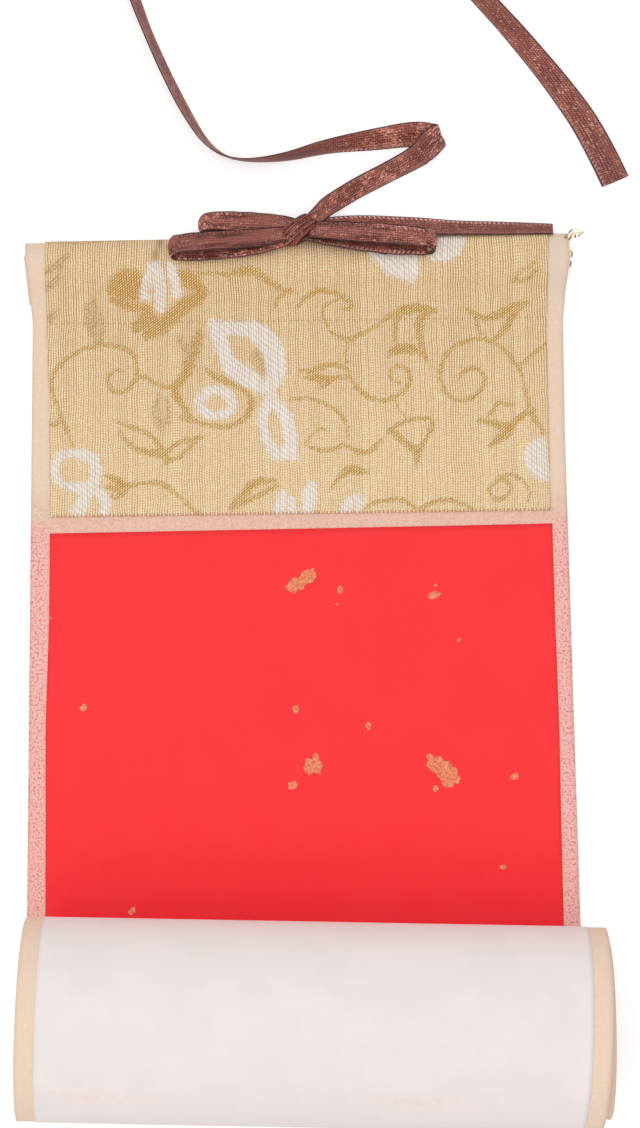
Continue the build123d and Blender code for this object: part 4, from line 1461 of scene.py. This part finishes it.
class SCROLL_OT_ribbon_bow(bpy.types.Operator):
    """Ties the bow: its three loops and the pleated band of the knot."""

    bl_idname = "scroll.ribbon_bow"
    bl_label = "Ribbon bow"

    def execute(self, context):
        finishes = ribbon_finishes(context.scene.scroll_ribbon)
        loops = (("bow_left", left_loop), ("bow_back", back_loop), ("bow_right", right_loop))
        for name, route in loops:
            mesh, _ = ribbon_mesh(name, route, crumpled)
            piece = new_ribbon(name, mesh, finishes)
            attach(piece, "root")
            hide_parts("ribbon_bow")
        mesh = knot_mesh("bow_knot")
        piece = new_piece("bow_knot", mesh, finishes[0])
        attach(piece, "root")
        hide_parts("ribbon_bow")
        return {"FINISHED"}


def mount_place(share, along):
    """Places points of the mount, between sides that stand a little off straight."""
    return lay(between_sides(share, half_width(along), along, mount_sides), along, mount_thickness)


def lining_place(share, along):
    """Places points of the lining, on the back of the mount."""
    return lay(share * lining_width / 2, along, 0.0)


def red_place(share, along):
    """Places points of the red paper, whose far edge is cut a little out of square."""
    down = along - run.marks["writing"]
    across = between_sides(share, face_width / 2, down, red_sides)
    return lay(across, along - red_tilt * across * (1 - ease(down, 0, red_tilt_length)), red_face)


def mount_marks(share, along):
    """How far the mount is dyed beside the red paper, pale beside the roll, and darkened by painted shade on
    the hem.
    """
    marks = run.marks
    across = share * half_width(along)
    before_roll = 1 - ease(along, roll_start - dye_end_blur, roll_start + dye_end_blur)
    beside = ease(np.abs(across), face_width / 2 - dye_blur, face_width / 2 + dye_blur)
    strips = beside * ease(along, marks["cross_strip"] - dye_above, marks["writing"] + dye_below)
    crossed = ease(along, marks["cross_strip"] - crossing_blur, marks["cross_strip"] + crossing_blur)
    dye = before_roll * np.maximum(strips, crossing_dye * (1 - beside) * crossed)
    pale = heading_pale * (1 - ease(along, marks["cross_strip"] - heading_pale_reach, marks["cross_strip"]))
    pale = np.maximum(pale, roll_pale * ease(along, roll_start - roll_pale_blur, roll_start + roll_pale_blur))
    # Painted shade over the hem, fading out past its foot
    hem_shade = (hem_shade_strength + hem_shade_lean * share) * (1 - ease(along, marks["foot"], marks["step_level"]))
    return {"dye": dye, "pale": pale, "hem_shade": hem_shade}


def lining_marks(share, along):
    """How far the lining is stained, and how strong the painted reflection of the red paper is low on the
    roll.
    """
    across = share * lining_width / 2
    stain = sum(
        np.exp(-(((across - x) / wide) ** 2) - ((along - roll_start - down) / long) ** 2)
        for x, down, wide, long in lining_stains
    )
    red_reflection = red_reflection_strength * ease(along, roll_start + red_reflection_from, roll_start + red_reflection_to)
    return {"stain": np.clip(stain, 0, 1), "red_reflection": red_reflection}


def red_marks(_, along):
    """How strong the painted shade on the red is, growing towards the roll."""
    return {"deep": ease(along, roll_start - roll_shade_reach, roll_start)}


class SCROLL_OT_papers(bpy.types.Operator):
    """Lays the mount, its lining and the red paper, and winds them into the roll."""

    bl_idname = "scroll.papers"
    bl_label = "Papers"

    def execute(self, context):
        papers = context.scene.scroll_papers
        ends = run.marks
        bend = roll_start - roll_margin
        red_end = ends[f"near_{red_turns}"]
        across = joined_steps(
            (-1, -side_from, side_step), (-side_from, side_from, middle_step), (side_from, 1, side_step)
        )
        mount_rows = joined_steps(
            (0, ends["far_edge"], flap_step),
            (ends["far_edge"], ends["slope"], hem_step),
            (ends["slope"], ends["writing"], heading_step),
            (ends["writing"], bend, face_step),
            (bend, ends["end"], roll_step),
        )
        lining_rows = joined_steps((ends["step_down"], bend, lining_step), (bend, ends["end"], roll_step))
        red_rows = joined_steps((ends["writing"], bend, face_step), (bend, red_end, roll_step))
        sheets = (
            (
                "mount", "mount_sheet", "mount_paper", mount_finish(papers), mount_rows, mount_place,
                mount_marks, mount_thickness,
                (flap_width * MM, ends["end"] * MM), ["hem_batten", "roller"],
            ),
            (
                "lining", "lining_paper", "lining_paper", lining_finish(papers), lining_rows, lining_place,
                lining_marks, lining_thickness,
                (lining_width * MM, (ends["end"] - ends["step_down"]) * MM), ["mount"],
            ),
            (
                "red_sheet", "red_paper", "red_paper", red_finish(papers), red_rows, red_place, red_marks,
                red_thickness, (face_width * MM, (red_end - ends["writing"]) * MM), ["mount"],
            ),
        )
        for name, node, slot, finish, rows, place, marks, thickness, flat, rests_on in sheets:
            mesh, share, along = grid_mesh(name, across, rows, place)
            for mark, values in marks(share, along).items():
                store(mesh, mark, values)
            piece = new_piece(name, mesh, finish, thickness)
            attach(piece, "root")
            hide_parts(node)
        return {"FINISHED"}


def thread_mesh(name):
    """The loose threads as one mesh of thin round strands."""
    routes = [[(x * MM, (hem_far + y) * MM, z * MM) for x, y, z in route] for route in loose_thread_routes]
    return nurbs_mesh(name, routes, thread_width * MM)


def thread_finish(brocade):
    """Loose ends of the brocade's ground and gold threads."""
    paint = Paint("loose threads", 0.7, 0.2)
    place = paint.object_place()
    strands = paint.step(paint.noise(place, 900.0), 0.4, 0.6)
    return paint.finish(paint.mix(strands, brocade.ground_bright, brocade.shade))


class SCROLL_OT_brocade(bpy.types.Operator):
    """Lays the brocade heading, wrapped round the batten, with its woven vines and flowers."""

    bl_idname = "scroll.brocade"
    bl_label = "Brocade"

    def execute(self, context):
        brocade = context.scene.scroll_brocade
        ends = run.marks
        shares = steps(-1, 1, weave_step / (face_width / 2))
        along = steps(0, ends["cross_strip"], weave_step)
        row_y, _ = run.at(along, brocade_face)
        turned = along < ends["crown"]
        crown_y = np.interp(ends["crown"], along, row_y)
        up = np.where(turned, crown_y - brocade_low + ends["crown"] - along, row_y - brocade_low)
        grid_share, grid_up = np.meshgrid(shares, up)
        grid_x = between_sides(grid_share, face_width / 2, np.meshgrid(shares, along)[1], brocade_sides)
        marks = {"across": grid_x}
        figures = (("gold", gold_strokes), ("silver", silver_strokes), ("shade", shade_strokes))
        for name, strokes in figures:
            marks[name] = figure_depth(grid_x.ravel(), grid_up.ravel(), strokes).reshape(grid_x.shape)
        marks["patch"] = sum(
            strength * np.exp(-(((grid_x - x) / wide) ** 2) - ((grid_up - place_up) / high) ** 2)
            for x, place_up, wide, high, strength in brocade_patches
        )
        marks["up"] = grid_up
        woven = ease(np.maximum(marks["gold"], marks["silver"]), -figure_edge, figure_edge)
        raised = brocade.relief / MM * woven

        def picked(share, s):
            """The row and the column of each point."""
            row = np.rint(s / along[1]).astype(int)
            return row, np.rint((share + 1) / 2 * (len(shares) - 1)).astype(int)

        def placed(share, s):
            """The places of points of the brocade, with its figures raised."""
            spot = picked(share, s)
            return lay(grid_x[spot], s, brocade_face + raised[spot])

        mesh, share, s = grid_mesh("brocade", shares, along, placed)
        spot = picked(share, s)
        for name, values in marks.items():
            store(mesh, name, values[spot])
        piece = new_piece("brocade", mesh, brocade_finish(brocade), brocade_thickness)
        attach(piece, "root")
        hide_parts("brocade_heading", "gold_vines", "silver_flowers")
        threads = new_piece("loose_threads", thread_mesh("loose_threads"), thread_finish(brocade))
        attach(threads, "root")
        return {"FINISHED"}


def fleck_swell(angle, number):
    """How far a fleck's torn outline reaches at an angle, where its plain oval would reach 1."""
    waves = sum(
        strength * noise.noise(Vector((math.cos(angle) * pace, math.sin(angle) * pace, number * apart)))
        for strength, pace, apart in fleck_waves
    )
    return 1 + fleck_wander * waves


def leaf_mesh(name):
    """The flecks as one mesh of torn ovals, laid on the red paper."""
    leaf = bmesh.new()
    for number, (x, down, size_x, size_y, lean) in enumerate(gold_flecks):
        turn = math.radians(lean)
        made = bmesh.ops.create_grid(leaf, x_segments=fleck_parts, y_segments=fleck_parts, size=1)
        for vertex in made["verts"]:
            a, b = vertex.co.x, vertex.co.y
            round_a = a * math.sqrt(1 - b * b / 2)
            round_b = b * math.sqrt(1 - a * a / 2)
            swell = fleck_swell(math.atan2(round_b, round_a), number)
            flat_x = round_a * swell * size_x / 2
            flat_y = round_b * swell * size_y / 2
            vertex.co.x = x + flat_x * math.cos(turn) - flat_y * math.sin(turn)
            vertex.co.y = down - flat_x * math.sin(turn) - flat_y * math.cos(turn)
            vertex.co.z = fleck_height + fleck_lap * (number % fleck_layers)
    mesh = bpy.data.meshes.new(name)
    leaf.to_mesh(mesh)
    leaf.free()
    spots = np.empty(len(mesh.vertices) * 3)
    mesh.vertices.foreach_get("co", spots)
    spots = spots.reshape(-1, 3)
    x, y, z = lay(spots[:, 0], run.marks["writing"] + spots[:, 1], red_face + spots[:, 2])
    mesh.vertices.foreach_set("co", (np.column_stack([x, y, z]) * MM).ravel())
    mesh.update()
    return mesh


class SCROLL_OT_gold_leaf(bpy.types.Operator):
    """Scatters the flecks of gold leaf over the red paper."""

    bl_idname = "scroll.gold_leaf"
    bl_label = "Gold leaf"

    def execute(self, context):
        finish = leaf_finish(context.scene.scroll_papers)
        piece = new_piece("gold_leaf", leaf_mesh("gold_flecks_leaf"), finish, fleck_height)
        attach(piece, "root")
        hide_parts("gold_flecks")
        return {"FINISHED"}


class SCROLL_OT_woods(bpy.types.Operator):
    """Finishes the batten in the hem and the roller inside the roll."""

    bl_idname = "scroll.woods"
    bl_label = "Batten and roller"

    def execute(self, context):
        for node, (light, dark) in wood_colours.items():
            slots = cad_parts[node].material_slots
            slots[0].material = wood_finish(f"{node} wood", colour(*light), colour(*dark))
        return {"FINISHED"}


def camera_place():
    """The camera's place in the frame, from its pitch, yaw and roll."""
    right = Vector((1, 0, 0))
    up = Vector((0, math.cos(camera_pitch), math.sin(camera_pitch)))
    back = Vector((0, -math.sin(camera_pitch), math.cos(camera_pitch)))
    right, back = (
        right * math.cos(camera_yaw) + back * math.sin(camera_yaw),
        back * math.cos(camera_yaw) - right * math.sin(camera_yaw),
    )
    right, up = (
        right * math.cos(camera_roll) + up * math.sin(camera_roll),
        up * math.cos(camera_roll) - right * math.sin(camera_roll),
    )
    turned = Matrix((right, up, back)).transposed().to_4x4()
    return Matrix.Translation(camera_spot * MM) @ turned


def floor_finish():
    """White paper that the camera sees as bright as the background, under the scroll's own shadow."""
    paint = Paint("floor white", 0.9, 0.1)
    paint.shader.inputs["Emission Color"].default_value = (1, 1, 1, 1)
    paint.feed(paint.shader.inputs["Emission Strength"], paint.times(paint.seen(), floor_glow))
    return paint.finish((floor_grey, floor_grey, floor_grey))


def new_floor(scene):
    """The pale floor that the scroll lies on."""
    mesh = bpy.data.meshes.new("floor")
    grid = bmesh.new()
    bmesh.ops.create_grid(grid, x_segments=1, y_segments=1, size=floor_half)
    grid.to_mesh(mesh)
    grid.free()
    floor = bpy.data.objects.new("floor", mesh)
    scene.collection.objects.link(floor)
    mesh.materials.append(floor_finish())
    return floor


def new_sky(scene, strength):
    """Even white light from all round, which the camera sees as plain white."""
    scene.world = bpy.data.worlds.new("studio")
    scene.world.use_nodes = True
    sky = Nodes(scene.world.node_tree)
    background = sky.nodes["Background"]
    background.inputs["Color"].default_value = (1, 1, 1, 1)
    sky.feed(background.inputs["Strength"], sky.node("ShaderNodeMapRange", sky.seen(), 0, 1, strength, 1))


def new_lamp(scene, power):
    """The large soft lamp overhead, turned to the scroll."""
    lamp = bpy.data.lights.new("overhead", "AREA")
    lamp.energy = power
    lamp.shape = "DISK"
    lamp.size = lamp_size
    holder = bpy.data.objects.new("overhead", lamp)
    holder.location = lamp_spot
    holder.rotation_euler = (Vector((0, 0, 0)) - holder.location).to_track_quat("-Z", "Y").to_euler()
    scene.collection.objects.link(holder)


def new_camera(scene):
    """The camera above the scroll, with the photograph's own focal length."""
    camera = bpy.data.cameras.new("camera")
    camera.sensor_fit = "VERTICAL"
    camera.sensor_height = sensor_height
    camera.lens = camera_focus / photo_height * camera.sensor_height
    camera.clip_start = clip_start
    eye = bpy.data.objects.new("camera", camera)
    eye.matrix_world = camera_place()
    scene.collection.objects.link(eye)
    scene.camera = eye


class SCROLL_OT_stage(bpy.types.Operator):
    """Sets the pale floor, the soft light and the camera above the scroll."""

    bl_idname = "scroll.stage"
    bl_label = "Stage"

    def execute(self, context):
        scene = context.scene
        floor = new_floor(scene)
        new_sky(scene, scene.scroll_stage.sky)
        new_lamp(scene, scene.scroll_stage.lamp)
        new_camera(scene)
        scene.view_settings.view_transform = "Standard"
        return {"FINISHED"}


class SCROLL_PT_panel(bpy.types.Panel):
    """Lists the scroll's pieces, with the sizes and colours that they take."""

    bl_label = "Paper scroll"
    bl_idname = "SCROLL_PT_panel"
    bl_space_type = "VIEW_3D"
    bl_region_type = "UI"
    bl_category = "Scroll"

    def draw(self, context):
        for group in property_groups:
            values = getattr(context.scene, group)
            for name in values.__annotations__:
                self.layout.prop(values, name)
        for operator in operators:
            self.layout.operator(operator.bl_idname)


property_groups = {
    "scroll_papers": ScrollPapers,
    "scroll_brocade": ScrollBrocade,
    "scroll_ribbon": ScrollRibbon,
    "scroll_stage": ScrollStage,
}
operators = (
    SCROLL_OT_stage,
    SCROLL_OT_ribbon_tails,
    SCROLL_OT_ribbon_bow,
    SCROLL_OT_papers,
    SCROLL_OT_brocade,
    SCROLL_OT_gold_leaf,
    SCROLL_OT_woods,
)


def register():
    """Adds the scroll's settings, operators and panel to Blender."""
    for group, kind in property_groups.items():
        bpy.utils.register_class(kind)
        setattr(bpy.types.Scene, group, bpy.props.PointerProperty(type=kind))
    for kind in (*operators, SCROLL_PT_panel):
        bpy.utils.register_class(kind)


def unregister():
    """Takes them out again."""
    for kind in (SCROLL_PT_panel, *reversed(operators)):
        bpy.utils.unregister_class(kind)
    for group, kind in property_groups.items():
        delattr(bpy.types.Scene, group)
        bpy.utils.unregister_class(kind)


def main():
    """Builds the whole scroll."""
    register()
    for operator in operators:
        group, name = operator.bl_idname.split(".")
        getattr(getattr(bpy.ops, group), name)()


if __name__ == "__main__":
    main()
